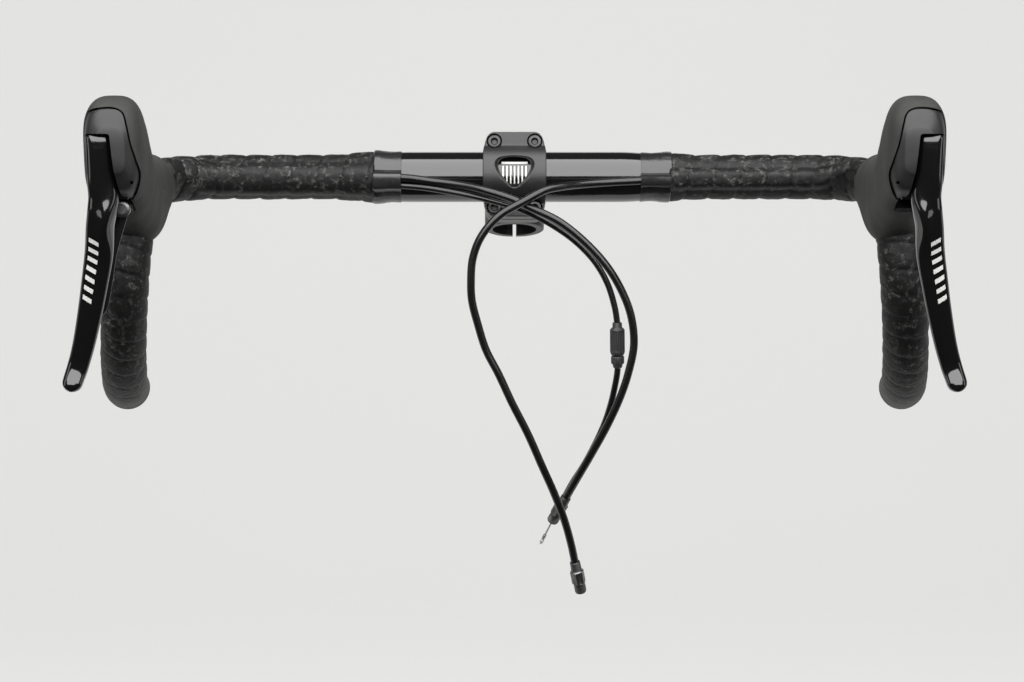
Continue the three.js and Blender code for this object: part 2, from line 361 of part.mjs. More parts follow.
const pushrod = join(rod(cyl(1.2), cyl(8.7), 1.9, 10), rod(cyl(7.2), cyl(8.7), 3.6, 12));
const spring = (() => {
  const pts = [], turns = 3, n = 24, r = 4.6, a = cyl(19.9), x = V(1, 0, 0), y = V(0, 0, 0).crossVectors(CYLD, x);
  for (let i = 0; i <= n; i++) { const w = (i / n) * turns * 2 * Math.PI; pts.push(a.clone().addScaledVector(CYLD, (i / n) * 11.6).addScaledVector(x, r * Math.cos(w)).addScaledVector(y, r * Math.sin(w))); }
  return line(pts, 0.55, 4, 24);
})();
const reservoirBladder = solid(new THREE.BoxGeometry(15, 9.4, 6.6), new THREE.Matrix4().makeTranslation(229, -149, 38.4));
const reservoirCap = join(box(221, 237, -153.9, -144.1, 42.1, 44), rod(V(224, -149, 43.8), V(224, -149, 44.9), 1.6, 8), rod(V(234, -149, 43.8), V(234, -149, 44.9), 1.6, 8));
const hoseNut = (under) => {
  const d = under[0].clone().sub(under[1]).normalize();
  return cut(rod(under[0].clone().addScaledVector(d, -4), under[0].clone().addScaledVector(d, 6.5), 3.9, 6), rod(under[0].clone().addScaledVector(d, -9), under[0].clone().addScaledVector(d, 9), BRAKE_HOSE_D / 2 + 0.45, 8));
};
const hose_nut_left = hoseNut(FRONT_UNDER), hose_nut_right = hoseNut(REAR_UNDER);
const cable_spool = mirror((() => {
  const f = (x0, x1, r) => rod(V(x0, SPOOL.y, SPOOL.z), V(x1, SPOOL.y, SPOOL.z), r, 12);
  return cut(join(f(224.2, 225.6, SPOOL_R), f(225.4, 226.9, SPOOL_R - 1.9), f(226.7, 228.2, SPOOL_R), f(228, 234, 5)), f(220, 240, 2.3));
})());
const spool_axle = mirror(rod(V(218.4, SPOOL.y, SPOOL.z), V(239.6, SPOOL.y, SPOOL.z), 2, 10));
const shift_wire = mirror(rod(wireFrom.clone().addScaledVector(wireDir, 1.4), wireTo.clone().addScaledVector(wireDir, -0.4), WIRE_D / 2, 6));
const lever_bracket_right_cut = biggest(cut(lever_bracket_right, mirror(rod(V(218, SPOOL.y, SPOOL.z), V(240, SPOOL.y, SPOOL.z), 2.3, 10))));

// ---------------------------------------------------------------- stem
const at = (f, n, x = 0) => CLAMP_MID.clone().addScaledVector(fwd, f).addScaledVector(nrm, n).add(V(x, 0, 0)); // stem frame, from the clamp's middle
const up = (d, x = 0, back = 0) => u.clone().multiplyScalar(d).add(V(x, back, 0));
const backDir = V(0, u.z, -u.y); // square to the steerer, towards the rider
const stemBasis = new THREE.Matrix4().makeBasis(V(1, 0, 0), fwd, nrm.clone().negate()); // x, forward, down
const steererClamp = rod(u.clone().multiplyScalar(0), u.clone().multiplyScalar(STEM_STACK), 19.6, 18);
const steererBore = rod(u.clone().multiplyScalar(-5), u.clone().multiplyScalar(STEM_STACK + 5), STEERER_D / 2 + 0.2, 18);
const upBasis = (p) => { const m = new THREE.Matrix4().makeBasis(V(1, 0, 0), backDir, u); m.setPosition(p); return m; };
const rearBoss = solid(new THREE.BoxGeometry(25, 11, STEM_STACK - 6), upBasis(up(STEM_STACK / 2).addScaledVector(backDir, 18)));
const rearSlit = solid(new THREE.BoxGeometry(2.2, 30, STEM_STACK + 10), upBasis(up(STEM_STACK / 2).addScaledVector(backDir, 22)));
const extension = loft([
  oval(at(9, -1), V(17.5, 0, 0), nrm.clone().multiplyScalar(16.5), 2.6), oval(at(22, -0.4), V(17.2, 0, 0), nrm.clone().multiplyScalar(16.8), 2.6),
  oval(at(45, 0), V(16.2, 0, 0), nrm.clone().multiplyScalar(16.4), 2.6), oval(at(64, 0), V(17, 0, 0), nrm.clone().multiplyScalar(17.2), 2.8), oval(at(74, 0), V(18.6, 0, 0), nrm.clone().multiplyScalar(19.4), 2.8), oval(at(86, 0), V(19.2, 0, 0), nrm.clone().multiplyScalar(20), 2.8),
], 16);
// clamp profile in forward (f) and up (n) from the bar axis
const clampProfile = (f0, f1) => { const p = []; const R = 21.2;
  for (let k = 0; k <= 10; k++) { const w = rad(-90 + (180 * k) / 10); p.push([Math.max(f0, R * Math.cos(w)), R * Math.sin(w)]); } return p; };
const profileSolid = (pts, width) => {
  const g = new THREE.ExtrudeGeometry(new THREE.Shape(pts.map((p) => new THREE.Vector2(p[0], p[1]))), { depth: width, bevelEnabled: false });
  const m = new THREE.Matrix4().makeBasis(fwd, nrm, V(1, 0, 0)).setPosition(BAR.clone().add(V(-width / 2, 0, 0)));
  return solid(g, m);
};
const ear = (f0, f1, sgn) => profileSolid(sgn > 0 ? [[f0, 12], [f1, 12], [f1, 25.6], [f0, 25.6]] : [[f0, -25.6], [f1, -25.6], [f1, -12], [f0, -12]], 36);
const outlineShape = (() => { // the faceplate seen from ahead: x and up
  const s = new THREE.Shape();
  const p = [[20, -12], [20, 12], [18.2, 19], [16.8, 24], [13.5, 26], [-13.5, 26], [-16.8, 24], [-18.2, 19], [-20, 12], [-20, -12], [-18.2, -19], [-16.8, -24], [-13.5, -26], [13.5, -26], [16.8, -24], [18.2, -19]];
  p.forEach((q, i) => (i ? s.lineTo(...q) : s.moveTo(...q))); s.closePath(); return s;
})();
const outlineBlock = (() => {
  const g = new THREE.ExtrudeGeometry(outlineShape, { depth: 80, bevelEnabled: false });
  return solid(g, new THREE.Matrix4().makeBasis(V(-1, 0, 0), nrm, fwd).setPosition(BAR.clone().addScaledVector(fwd, -40)));
})();
const barBore = rod(BAR.clone().add(V(-60, 0, 0)), BAR.clone().add(V(60, 0, 0)), CLAMP_D / 2 + 0.45, 18);
const faceBolts = [[-1, 1], [1, 1], [-1, -1], [1, -1]];
const fb = (i, f) => BAR.clone().add(V(faceBolts[i][0] * FACE_BOLT_X, 0, 0)).addScaledVector(nrm, faceBolts[i][1] * FACE_BOLT_N).addScaledVector(fwd, f);
const windowShape = (() => {
  const s = new THREE.Shape(), p = [[0, -9.6], [3.2, -8], [8.6, -0.6], [10.6, 4.4], [9.6, 8], [6.4, 9.6], [0, 10], [-6.4, 9.6], [-9.6, 8], [-10.6, 4.4], [-8.6, -0.6], [-3.2, -8]];
  p.forEach((q, i) => (i ? s.lineTo(...q) : s.moveTo(...q))); s.closePath(); return s;
})();
const windowCut = solid(new THREE.ExtrudeGeometry(windowShape, { depth: 40, bevelEnabled: false }), new THREE.Matrix4().makeBasis(V(-1, 0, 0), nrm, fwd).setPosition(BAR.clone()));
const frontHalf = profileSolid(clampProfile(0.9).concat([[0.9, 0]]).filter((p, i, a) => i < a.length - 1), FACE_WIDTH);
let stem_faceplate = cut(join(profileSolid([[0.9, -21.2], ...clampProfile(0.9).slice(1, -1), [0.9, 21.2]], FACE_WIDTH), ear(0.9, 11, 1), ear(0.9, 11, -1)).intersect(outlineBlock), barBore, windowCut,
  ...[0, 1, 2, 3].flatMap((i) => [rod(fb(i, -2), fb(i, 30), 2.9, 8), rod(fb(i, 5.9), fb(i, 30), 4.8, 10)]));
const backProfile = [[-0.9, -21.2], ...clampProfile(0.9).slice(1, -1).map(([f, n]) => [-f, n]), [-0.9, 21.2]];
let stem_body = join(steererClamp, rearBoss, extension, profileSolid(backProfile.reverse(), FACE_WIDTH).intersect(outlineBlock), ear(-14, -0.9, 1).intersect(outlineBlock), ear(-14, -0.9, -1).intersect(outlineBlock));
stem_body = cut(stem_body, steererBore, rearSlit, barBore, ...[0, 1, 2, 3].map((i) => rod(fb(i, -11.5), fb(i, 2), 2.9, 8)));
// keep the stem body behind the split
stem_body = stem_body.subtract(halfSpace(BAR.clone().addScaledVector(fwd, -0.9), fwd));
const steererBolt = (d) => {
  const c = up(d).addScaledVector(backDir, 18.8);
  return { hole: [rod(c.clone().add(V(-14, 0, 0)), c.clone().add(V(14, 0, 0)), 2.9, 8), rod(c.clone().add(V(8.6, 0, 0)), c.clone().add(V(14, 0, 0)), 4.8, 10)], bolt: bolt(c.clone().add(V(12.4, 0, 0)), c.clone().add(V(-11.6, 0, 0)), 2.5, 4.3, 3.4, 2) };
};
const sb1 = steererBolt(11), sb2 = steererBolt(29);
stem_body = cut(stem_body, ...sb1.hole, ...sb2.hole);
const face_bolt = [0, 1, 2, 3].map((i) => bolt(fb(i, 10.4), fb(i, -10.9), 2.5, 4.3, 4.2, 2));

// ---------------------------------------------------------------- line ends
const tangentEnd = (pts) => { const c = new THREE.CatmullRomCurve3(pts, false, "centripetal"); return [c.getPoint(1), c.getTangent(1)]; };
const coupling = (pts) => {
  const [p, t] = tangentEnd(pts), q = (d) => p.clone().addScaledVector(t, d);
  return join(rod(q(0.3), q(6.5), 3.1, 12, 3.6), rod(q(6.3), q(15), 4.6, 6), rod(q(14.8), q(22), 3.7, 12));
};
const front_hose_coupling = coupling(frontPath), rear_hose_coupling = coupling(rearPath);
const [se, st_] = tangentEnd(SHIFT_LOWER);
const sq = (d) => se.clone().addScaledVector(st_, d);
const shift_ferrule = cut(rod(sq(0.3), sq(10), 2.6, 12, 2.3), rod(sq(5), sq(12), 0.95, 8));
const shift_wire_end = join(rod(sq(5.4), sq(30), WIRE_D / 2, 6), rod(sq(29.6), sq(38), 1.05, 8));
const ad = ADJ_END.clone().sub(ADJ_TOP).normalize(), aq = (d) => ADJ_TOP.clone().addScaledVector(ad, d);
const adjuster_body = join(rod(aq(0.3), aq(3), 2.9, 14), rod(aq(2.8), aq(20.6), 4.6, 16));
const adjuster_barrel = cut(join(rod(aq(20.9), aq(26), 4.1, 16), rod(aq(25.8), aq(28.4), 3.0, 14)), rod(aq(19), aq(30), 1.2, 8));

// ---------------------------------------------------------------- materials and nodes
const mat = (color, roughness, metalness) => new THREE.MeshStandardMaterial({ color, roughness, metalness });
const M = {
  bar: () => mat(0x0c0c0d, 0.18, 0.1), tape: () => mat(0x232323, 0.85, 0), vinyl: () => mat(0x19191a, 0.35, 0), stem: () => mat(0x141415, 0.5, 0.3),
  bolt: () => mat(0x1b1b1c, 0.35, 0.9), rubber: () => mat(0x343432, 0.8, 0), shell: () => mat(0x1f1f20, 0.55, 0), blade: () => mat(0x0a0a0b, 0.12, 0.1), hose: () => mat(0x111112, 0.4, 0),
  steel: () => mat(0x9a9a9c, 0.35, 1), nylon: () => mat(0x2a2a2c, 0.5, 0), alloy: () => mat(0x75767a, 0.4, 1), bladder: () => mat(0x202022, 0.8, 0),
};
const part = new THREE.Group(), cockpit = new THREE.Group(), stem = new THREE.Group();
cockpit.position.copy(BAR);
part.add(cockpit, stem);
const add = (group, name, s, material) => { const m = new THREE.Mesh(geometryOf(s), material()); m.name = name; group.add(m); };
add(cockpit, "handlebar", handlebar, M.bar);
add(cockpit, "bar_tape_top_left", bar_tape_top_left, M.tape);
add(cockpit, "bar_tape_top_right", bar_tape_top_right, M.tape);
add(cockpit, "bar_tape_drop_left", bar_tape_drop_left, M.tape);
add(cockpit, "bar_tape_drop_right", bar_tape_drop_right, M.tape);
add(cockpit, "finishing_tape_left", finishing_tape_left, M.vinyl);
add(cockpit, "finishing_tape_right", finishing_tape_right, M.vinyl);
add(cockpit, "bar_end_plug_left", bar_end_plug_left, M.nylon);
add(cockpit, "bar_end_plug_right", bar_end_plug_right, M.nylon);
add(stem, "stem_body", stem_body, M.stem);
add(stem, "stem_faceplate", stem_faceplate, M.stem);
face_bolt.forEach((b, i) => add(stem, "faceplate_bolt_" + (i + 1), b, M.bolt));
add(stem, "steerer_bolt_1", sb1.bolt, M.bolt);
add(stem, "steerer_bolt_2", sb2.bolt, M.bolt);
for (const [side, f] of [["left", (m) => m], ["right", mirror]]) {
  add(cockpit, "hood_rubber_" + side, side === "left" ? hood_rubber : hood_rubber_right, M.rubber);
  add(cockpit, "front_shell_" + side, f(front_shell), M.shell);
  add(cockpit, "lever_bracket_" + side, side === "left" ? lever_bracket_left : lever_bracket_right_cut, M.nylon);
  add(cockpit, "clamp_band_" + side, f(clampBand), M.steel);
  add(cockpit, "clamp_bolt_" + side, f(clampBolt), M.bolt);
  add(cockpit, "brake_lever_" + side, side === "left" ? brake_lever_left : brake_lever_right, M.blade);
  add(cockpit, "pivot_pin_" + side, f(pivotPin), M.steel);
  add(cockpit, "master_piston_" + side, f(piston), M.alloy);
  add(cockpit, "pushrod_" + side, f(pushrod), M.steel);
  add(cockpit, "piston_spring_" + side, f(spring), M.steel);
  add(cockpit, "reservoir_bladder_" + side, f(reservoirBladder), M.bladder);
  add(cockpit, "reservoir_cap_" + side, f(reservoirCap), M.alloy);
  add(cockpit, "hose_nut_" + side, side === "left" ? hose_nut_left : hose_nut_right, M.alloy);
}
add(cockpit, "shift_paddle", shift_paddle, M.blade);
add(cockpit, "paddle_pin", paddle_pin, M.steel);
add(cockpit, "cable_spool", cable_spool, M.nylon);
add(cockpit, "spool_axle", spool_axle, M.steel);
add(cockpit, "shift_wire", shift_wire, M.steel);
add(cockpit, "front_brake_hose", front_brake_hose, M.hose);
add(cockpit, "rear_brake_hose", rear_brake_hose, M.hose);
add(cockpit, "shift_housing_upper", shift_housing_upper, M.hose);
add(cockpit, "shift_housing_lower", shift_housing_lower, M.hose);
add(cockpit, "adjuster_body", adjuster_body, M.nylon);
add(cockpit, "adjuster_barrel", adjuster_barrel, M.nylon);
add(cockpit, "front_hose_coupling", front_hose_coupling, M.alloy);
add(cockpit, "rear_hose_coupling", rear_hose_coupling, M.alloy);
add(cockpit, "shift_ferrule", shift_ferrule, M.nylon);
add(cockpit, "shift_wire_end", shift_wire_end, M.steel);

export default part;
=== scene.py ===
# Drop handlebar: the visible model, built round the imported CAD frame. Metres, row frame.
import bpy, bmesh, json, math
from mathutils import Matrix, Vector, noise

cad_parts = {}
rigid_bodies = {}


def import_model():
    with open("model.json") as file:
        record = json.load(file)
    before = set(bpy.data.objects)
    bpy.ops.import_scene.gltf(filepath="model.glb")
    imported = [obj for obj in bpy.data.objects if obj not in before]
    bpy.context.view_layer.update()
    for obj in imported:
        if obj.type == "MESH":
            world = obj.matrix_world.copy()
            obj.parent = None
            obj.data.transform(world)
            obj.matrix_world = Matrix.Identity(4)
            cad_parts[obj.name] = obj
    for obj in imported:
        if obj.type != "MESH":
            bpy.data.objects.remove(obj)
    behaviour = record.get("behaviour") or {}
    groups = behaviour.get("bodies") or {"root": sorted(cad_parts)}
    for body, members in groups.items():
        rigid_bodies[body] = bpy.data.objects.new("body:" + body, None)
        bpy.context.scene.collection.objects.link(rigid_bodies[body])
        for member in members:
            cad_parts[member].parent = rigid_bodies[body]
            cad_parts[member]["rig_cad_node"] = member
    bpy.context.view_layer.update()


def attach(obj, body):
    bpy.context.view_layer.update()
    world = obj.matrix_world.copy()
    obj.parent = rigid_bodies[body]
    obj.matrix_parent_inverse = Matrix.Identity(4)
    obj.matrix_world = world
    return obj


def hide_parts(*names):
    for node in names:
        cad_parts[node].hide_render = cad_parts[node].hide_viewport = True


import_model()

BAR = Vector((0.0, -81.5209, 38.4461))      # bar centre, mm
ROOT = "cockpit"
PI2 = 2 * math.pi


def W(v):
    """mm from the bar centre to metres in the row frame"""
    return (Vector(v) + BAR) * 0.001


def sstep(x, a, b):
    t = min(1.0, max(0.0, (x - a) / (b - a)))
    return t * t * (3 - 2 * t)


def lerp(a, b, t):
    return a + (b - a) * t


# ------------------------------------------------------------------ camera
cam_data = bpy.data.cameras.new("camera")
cam = bpy.data.objects.new("camera", cam_data)
bpy.context.scene.collection.objects.link(cam)
cam_data.sensor_width = 36.0
cam_data.lens = 2690.0 / 1024.0 * 36.0
cam_data.clip_end = 50.0
cam.location = (-0.0016, -1.783, 0.1131)
cam.rotation_euler = (math.radians(90 - 6), 0, 0)
bpy.context.scene.camera = cam

# ------------------------------------------------------------------ curves as in the CAD model


def catmull(pts, t):
    n = len(pts)
    p = (n - 1) * t
    i = int(math.floor(p))
    w = p - i
    if w == 0 and i == n - 1:
        i, w = n - 2, 1.0
    p0 = pts[i - 1] if i > 0 else pts[0] * 2 - pts[1]
    p1, p2 = pts[i], pts[i + 1]
    p3 = pts[i + 2] if i + 2 < n else pts[n - 1] * 2 - pts[n - 2]
    d0, d1, d2 = [(b - a).length_squared ** 0.25 for a, b in ((p0, p1), (p1, p2), (p2, p3))]
    d1 = 1.0 if d1 < 1e-4 else d1
    d0 = d1 if d0 < 1e-4 else d0
    d2 = d1 if d2 < 1e-4 else d2
    t1 = ((p1 - p0) / d0 - (p2 - p0) / (d0 + d1) + (p2 - p1) / d1) * d1
    t2 = ((p2 - p1) / d1 - (p3 - p1) / (d1 + d2) + (p3 - p2) / d2) * d1
    return p1 + t1 * w + (-3 * p1 + 3 * p2 - 2 * t1 - t2) * w * w + (2 * p1 - 2 * p2 + t1 + t2) * w ** 3


def spaced(pts, count, dense=900):
    """points at equal distances along the curve"""
    raw = [catmull(pts, i / dense) for i in range(dense + 1)]
    acc = [0.0]
    for a, b in zip(raw, raw[1:]):
        acc.append(acc[-1] + (b - a).length)
    out, k = [], 0
    for i in range(count):
        s = acc[-1] * i / (count - 1)
        while k < dense - 1 and acc[k + 1] < s:
            k += 1
        f = (s - acc[k]) / max(1e-9, acc[k + 1] - acc[k])
        out.append(raw[k].lerp(raw[k + 1], min(1, max(0, f))))
    return out, acc[-1]


HALF = [Vector(p) for p in (
    (0, 0, 0), (60, 0, 0), (120, 0, 0), (172, 0, 0), (186, -0.9, 0), (198, -4.2, -0.2), (209, -10, -0.6), (218.5, -19.5, -1.4),
    (225, -31, -3), (228.8, -44, -6.5), (230.6, -57, -12.5), (232, -68, -22.5), (233.2, -74.5, -36), (235, -76, -52),
    (236.7, -73, -69), (238.8, -65.5, -86.5), (241, -53, -103.5), (243.4, -36, -118), (245.6, -17, -127.5), (248, 3, -132.5),
    (249.8, 19, -135.5), (251.2, 33, -137.8))]
_pts = [Vector((-60, 0, 0))] + HALF
TABLE = []
_s, _a = 0.0, Vector((0, 0, 1))
for _i in range(1401):
    _w = 1 / len(HALF) + (1 - 1 / len(HALF)) * (_i / 1400)
    _p = catmull(_pts, min(1.0, _w))
    if TABLE:
        _s += (_p - TABLE[-1][1]).length
    TABLE.append([_s, _p])
for _i, row in enumerate(TABLE):
    _t = (TABLE[min(1400, _i + 1)][1] - TABLE[max(0, _i - 1)][1]).normalized()
    _a = (_a - _t * _a.dot(_t)).normalized()
    row.extend([_t, _a, _t.cross(_a)])
HALF_LENGTH = TABLE[-1][0]


def station(s):
    q = min(abs(s), HALF_LENGTH)
    lo, hi = 0, 1400
    while hi - lo > 1:
        m = (lo + hi) >> 1
        if TABLE[m][0] <= q:
            lo = m
        else:
            hi = m
    f = (q - TABLE[lo][0]) / max(1e-9, TABLE[hi][0] - TABLE[lo][0])
    f = min(1.0, max(0.0, f))
    p, t, a, b = [TABLE[lo][k].lerp(TABLE[hi][k], f) for k in (1, 2, 3, 4)]
    t.normalize(), a.normalize(), b.normalize()
    if abs(s) > HALF_LENGTH:
        p = p + t * (abs(s) - HALF_LENGTH)
    if s < 0:
        p.x, t.x, a.x, b.x = -p.x, -t.x, -a.x, -b.x
    return p, t, a, b


def bar_radius(s):
    return lerp(15.9, 11.9, sstep(abs(s), 66, 120))


def tape_radius(s):
    return 14.1 + (bar_radius(s) - 11.9) * 0.93


def climb(s, tape, lever):
    return lerp(tape, lever, sstep(s, 188, 236))


def bar_inner(s, off, deg):
    p, t, _, _ = station(abs(s))
    n = t.cross(Vector((0, 0, 1))).normalized()
    z = n.cross(t)
    r = math.radians(deg)
    return p + n * (off * math.cos(r)) + z * (off * math.sin(r))


def under_tape(r, d_exit, d_tape, d_lever, exit_s):
    out = []
    for s in (262, 253, 244, 235, 226, 217, 208, 199, 188, 170, 145, 122, 112, 102, 92, 84, 77):
        if s < exit_s + 3:
            break
        k = sstep(s, exit_s, 125)
        out.append(bar_inner(s, bar_radius(s) + r + 0.45 + 1.7 * sstep(s, 238, 256), d_exit + (climb(s, d_tape, d_lever) - d_exit) * k))
    return out


flip = lambda pts: [Vector((-p.x, p.y, p.z)) for p in pts]
V3 = lambda rows: [Vector(r) for r in rows]
FRONT = under_tape(2.5, -4, -3, 40, 79) + V3([[74, -18.95, -1.7], [60.8, -20.4, -2.3], [40.9, -28.5, -3.4], [28.1, -37.6, -4.5], [18.8, -42.8, -6.2], [5.2, -47.6, -13.1],
    [-9.9, -49.5, -22], [-20.4, -49.8, -34.2], [-25.7, -49.2, -47.7], [-26.9, -48.8, -62.4], [-26.3, -48, -74.3], [-22.6, -46.6, -89.3], [-17.7, -45.2, -105],
    [-10, -44.8, -120], [-1.6, -43.7, -138.3], [8.4, -40.8, -158.4], [17.1, -36, -178.9], [24.8, -29.8, -197.1], [31.3, -23.6, -214.9], [35.9, -18.4, -231.9], [38.4, -14.5, -244.1]])
REAR = flip(under_tape(2.5, 1.5, 4, 54, 71)) + V3([[-66, -19, 0.1], [-52.8, -20.3, -1.6], [-35.5, -26.6, -3.6], [-17.7, -36, -6.8], [0.9, -40.6, -12.7], [9.5, -42, -16.9], [27.3, -44, -25.4],
    [44.1, -44.4, -38.8], [57.4, -44.8, -53.6], [66.4, -44.4, -68.7], [72.1, -44, -84], [74, -42.9, -102.1], [70.5, -41.8, -120.4], [65.6, -39.4, -135.7], [58.1, -34.2, -153.4],
    [49.3, -27, -171.1], [40.5, -17.8, -188.2], [32.8, -8.3, -203.5]])
SHIFT = flip(under_tape(2.0, -13.5, -17, 26, 71)) + V3([[-66, -18.7, -4.9], [-55.9, -19.9, -5.8], [-46.5, -23, -7.1], [-24.6, -30.4, -10.8], [-4.1, -34.9, -15.9], [5.2, -35.2, -19],
    [23.2, -34.2, -28.2], [38.2, -33.2, -38.9], [50, -33.5, -51.3], [57.8, -34, -64.8], [62.5, -34.6, -80.2], [63.9, -34.7, -89.2]])
SHIFT_LOW = V3([[64.4, -32.5, -118], [63.9, -31.6, -123], [60.6, -26.8, -140.4], [55.8, -19.5, -156.6], [45.5, -7.9, -180.1], [36.2, 2.4, -197.1], [30, 12, -211.1]])
ADJ_TOP, ADJ_END = Vector((63.9, -34.7, -89.2)), Vector((64.4, -32.6, -117.6))

# ------------------------------------------------------------------ materials


class Nodes:
    def __init__(self, name):
        self.m = bpy.data.materials.new(name)
        self.m.use_nodes = True
        self.t = self.m.node_tree
        self.t.nodes.clear()
        self.out = self.t.nodes.new("ShaderNodeOutputMaterial")
        self.b = self.t.nodes.new("ShaderNodeBsdfPrincipled")
        self.t.links.new(self.b.outputs[0], self.out.inputs[0])
        self.tc = self.t.nodes.new("ShaderNodeTexCoord")

    def n(self, kind, props=None, **ins):
        x = self.t.nodes.new(kind)
        for k, v in (props or {}).items():
            setattr(x, k, v)
        for k, v in ins.items():
            s = x.inputs[int(k[1:])] if k[0] == "i" and k[1:].isdigit() else x.inputs[k.replace("_", " ")]
            if hasattr(v, "is_output") or isinstance(v, bpy.types.NodeSocket):
                self.t.links.new(v, s)
            else:
                s.default_value = v
        return x

    def noise(self, scale, detail=4, rough=0.55, distort=0.0, vec=None):
        return self.n("ShaderNodeTexNoise", None, Vector=vec or self.tc.outputs["Object"], Scale=scale, Detail=detail, Roughness=rough, Distortion=distort).outputs["Fac"]

    def voronoi(self, scale, feature="F1", vec=None, rand=1.0):
        return self.n("ShaderNodeTexVoronoi", {"feature": feature}, Vector=vec or self.tc.outputs["Object"], Scale=scale, Randomness=rand).outputs[0]

    def ramp(self, fac, *stops):
        x = self.n("ShaderNodeValToRGB", None, Fac=fac)
        e = x.color_ramp.elements
        while len(e) < len(stops):
            e.new(0.5)
        for el, (pos, col) in zip(e, stops):
            el.position = pos
            el.color = (col, col, col, 1) if not hasattr(col, "__len__") else (*col, 1)
        return x.outputs["Color"]

    def maths(self, op, a, b=None, c=None):
        x = self.t.nodes.new("ShaderNodeMath")
        x.operation = op
        for i, v in enumerate((a, b, c)):
            if v is None:
                continue
            if isinstance(v, bpy.types.NodeSocket):
                self.t.links.new(v, x.inputs[i])
            else:
                x.inputs[i].default_value = v
        return x.outputs[0]

    def mix(self, fac, a, b):
        x = self.t.nodes.new("ShaderNodeMix")
        x.data_type = "RGBA"
        for s, v in ((x.inputs[0], fac), (x.inputs[6], a), (x.inputs[7], b)):
            if isinstance(v, bpy.types.NodeSocket):
                self.t.links.new(v, s)
            else:
                s.default_value = v if not hasattr(v, "__len__") else (*v[:3], 1)
        return x.outputs[2]

    def bump(self, height, dist, strength=1.0, chain=None):
        x = self.n("ShaderNodeBump", None, Height=height, Strength=strength, Distance=dist)
        if chain:
            self.t.links.new(chain, x.inputs["Normal"])
        return x.outputs[0]

    def put(self, name, v):
        s = self.b.inputs[name]
        if isinstance(v, bpy.types.NodeSocket):
            self.t.links.new(v, s)
        else:
            s.default_value = v if not hasattr(v, "__len__") else (*v[:3], 1)
        return self


def g(v):
    return (v, v, v)


def mat_tape():
    k = Nodes("tape_marbled")
    warp = k.n("ShaderNodeTexNoise", None, Vector=k.tc.outputs["Object"], Scale=140.0, Detail=3.0)
    v = k.n("ShaderNodeVectorMath", {"operation": "MULTIPLY_ADD"}, i0=warp.outputs["Color"], i1=(0.0045, 0.0045, 0.0045), i2=k.tc.outputs["Object"]).outputs[0]
    zone = k.ramp(k.noise(62, 3, 0.55, 0.4, v), (0.36, 0.0), (0.60, 1.0))
    big = k.ramp(k.noise(270, 5, 0.66, 0.1, v), (0.52, 0.0), (0.61, 1.0))
    fleck = k.ramp(k.noise(720, 4, 0.65, 0.2, v), (0.50, 0.0), (0.60, 1.0))
    both = k.maths("MULTIPLY", big, k.maths("MULTIPLY_ADD", fleck, 0.75, 0.35))
    both = k.maths("MULTIPLY", both, k.maths("MULTIPLY_ADD", zone, 0.85, 0.18))
    tiny = k.ramp(k.noise(1300, 2, 0.5), (0.60, 0.0), (0.72, 1.0))
    both = k.maths("MAXIMUM", both, k.maths("MULTIPLY", tiny, 0.16))
    col = k.mix(both, (0.0030, 0.0029, 0.0028), (0.090, 0.0885, 0.085))
    grain = k.noise(1500, 4, 0.6)
    crease = k.noise(330, 5, 0.66, 0.35)
    cells = k.voronoi(330, "DISTANCE_TO_EDGE", v)
    n1 = k.bump(crease, 0.0003, 0.5)
    n2 = k.bump(k.ramp(cells, (0.0, 0.0), (0.22, 1.0)), 0.00008, 0.4, n1)
    n3 = k.bump(grain, 0.0002, 0.7, n2)
    rough = k.maths("MULTIPLY_ADD", grain, 0.24, k.maths("MULTIPLY_ADD", both, 0.1, 0.40))
    k.put("Base Color", col).put("Roughness", rough).put("Normal", n3)
    k.b.inputs["Specular IOR Level"].default_value = 0.27
    return k.m


def mat_vinyl():
    k = Nodes("finishing_vinyl")
    streak = k.n("ShaderNodeMapping", None, Vector=k.tc.outputs["Object"], Scale=(900.0, 60.0, 60.0)).outputs[0]
    s = k.noise(1.0, 3, 0.5, 0.3, streak)
    blot = k.noise(160, 3, 0.5, 0.6)
    k.put("Base Color", k.mix(blot, (0.008, 0.008, 0.0083), (0.013, 0.013, 0.0135)))
    k.put("Roughness", k.maths("MULTIPLY_ADD", s, 0.16, 0.22))
    k.put("Normal", k.bump(blot, 0.0004, 0.35, k.bump(s, 0.00006, 0.4)))
    k.b.inputs["Coat Weight"].default_value = 0.25
    k.b.inputs["Coat Roughness"].default_value = 0.2
    return k.m


def mat_gloss(name, base, marks=None):
    k = Nodes(name)
    peel = k.noise(420, 2, 0.45)
    dust = k.ramp(k.noise(2600, 2, 0.5), (0.70, 0.0), (0.80, 1.0))
    swirl = k.noise(35, 4, 0.6)
    col = k.mix(k.maths("MULTIPLY", dust, 0.25), k.mix(swirl, g(base), g(base * 1.7)), g(0.09))
    rough = k.maths("MULTIPLY_ADD", swirl, 0.07, 0.085)
    if marks:
        mask = marks(k)
        col = k.mix(mask, col, (0.62, 0.62, 0.60))
        rough = k.maths("MULTIPLY_ADD", mask, 0.25, rough)
    k.put("Base Color", col).put("Roughness", rough).put("Normal", k.bump(peel, 0.00003, 0.5))
    k.b.inputs["Coat Weight"].default_value = 0.6
    k.b.inputs["Coat Roughness"].default_value = 0.05
    return k.m


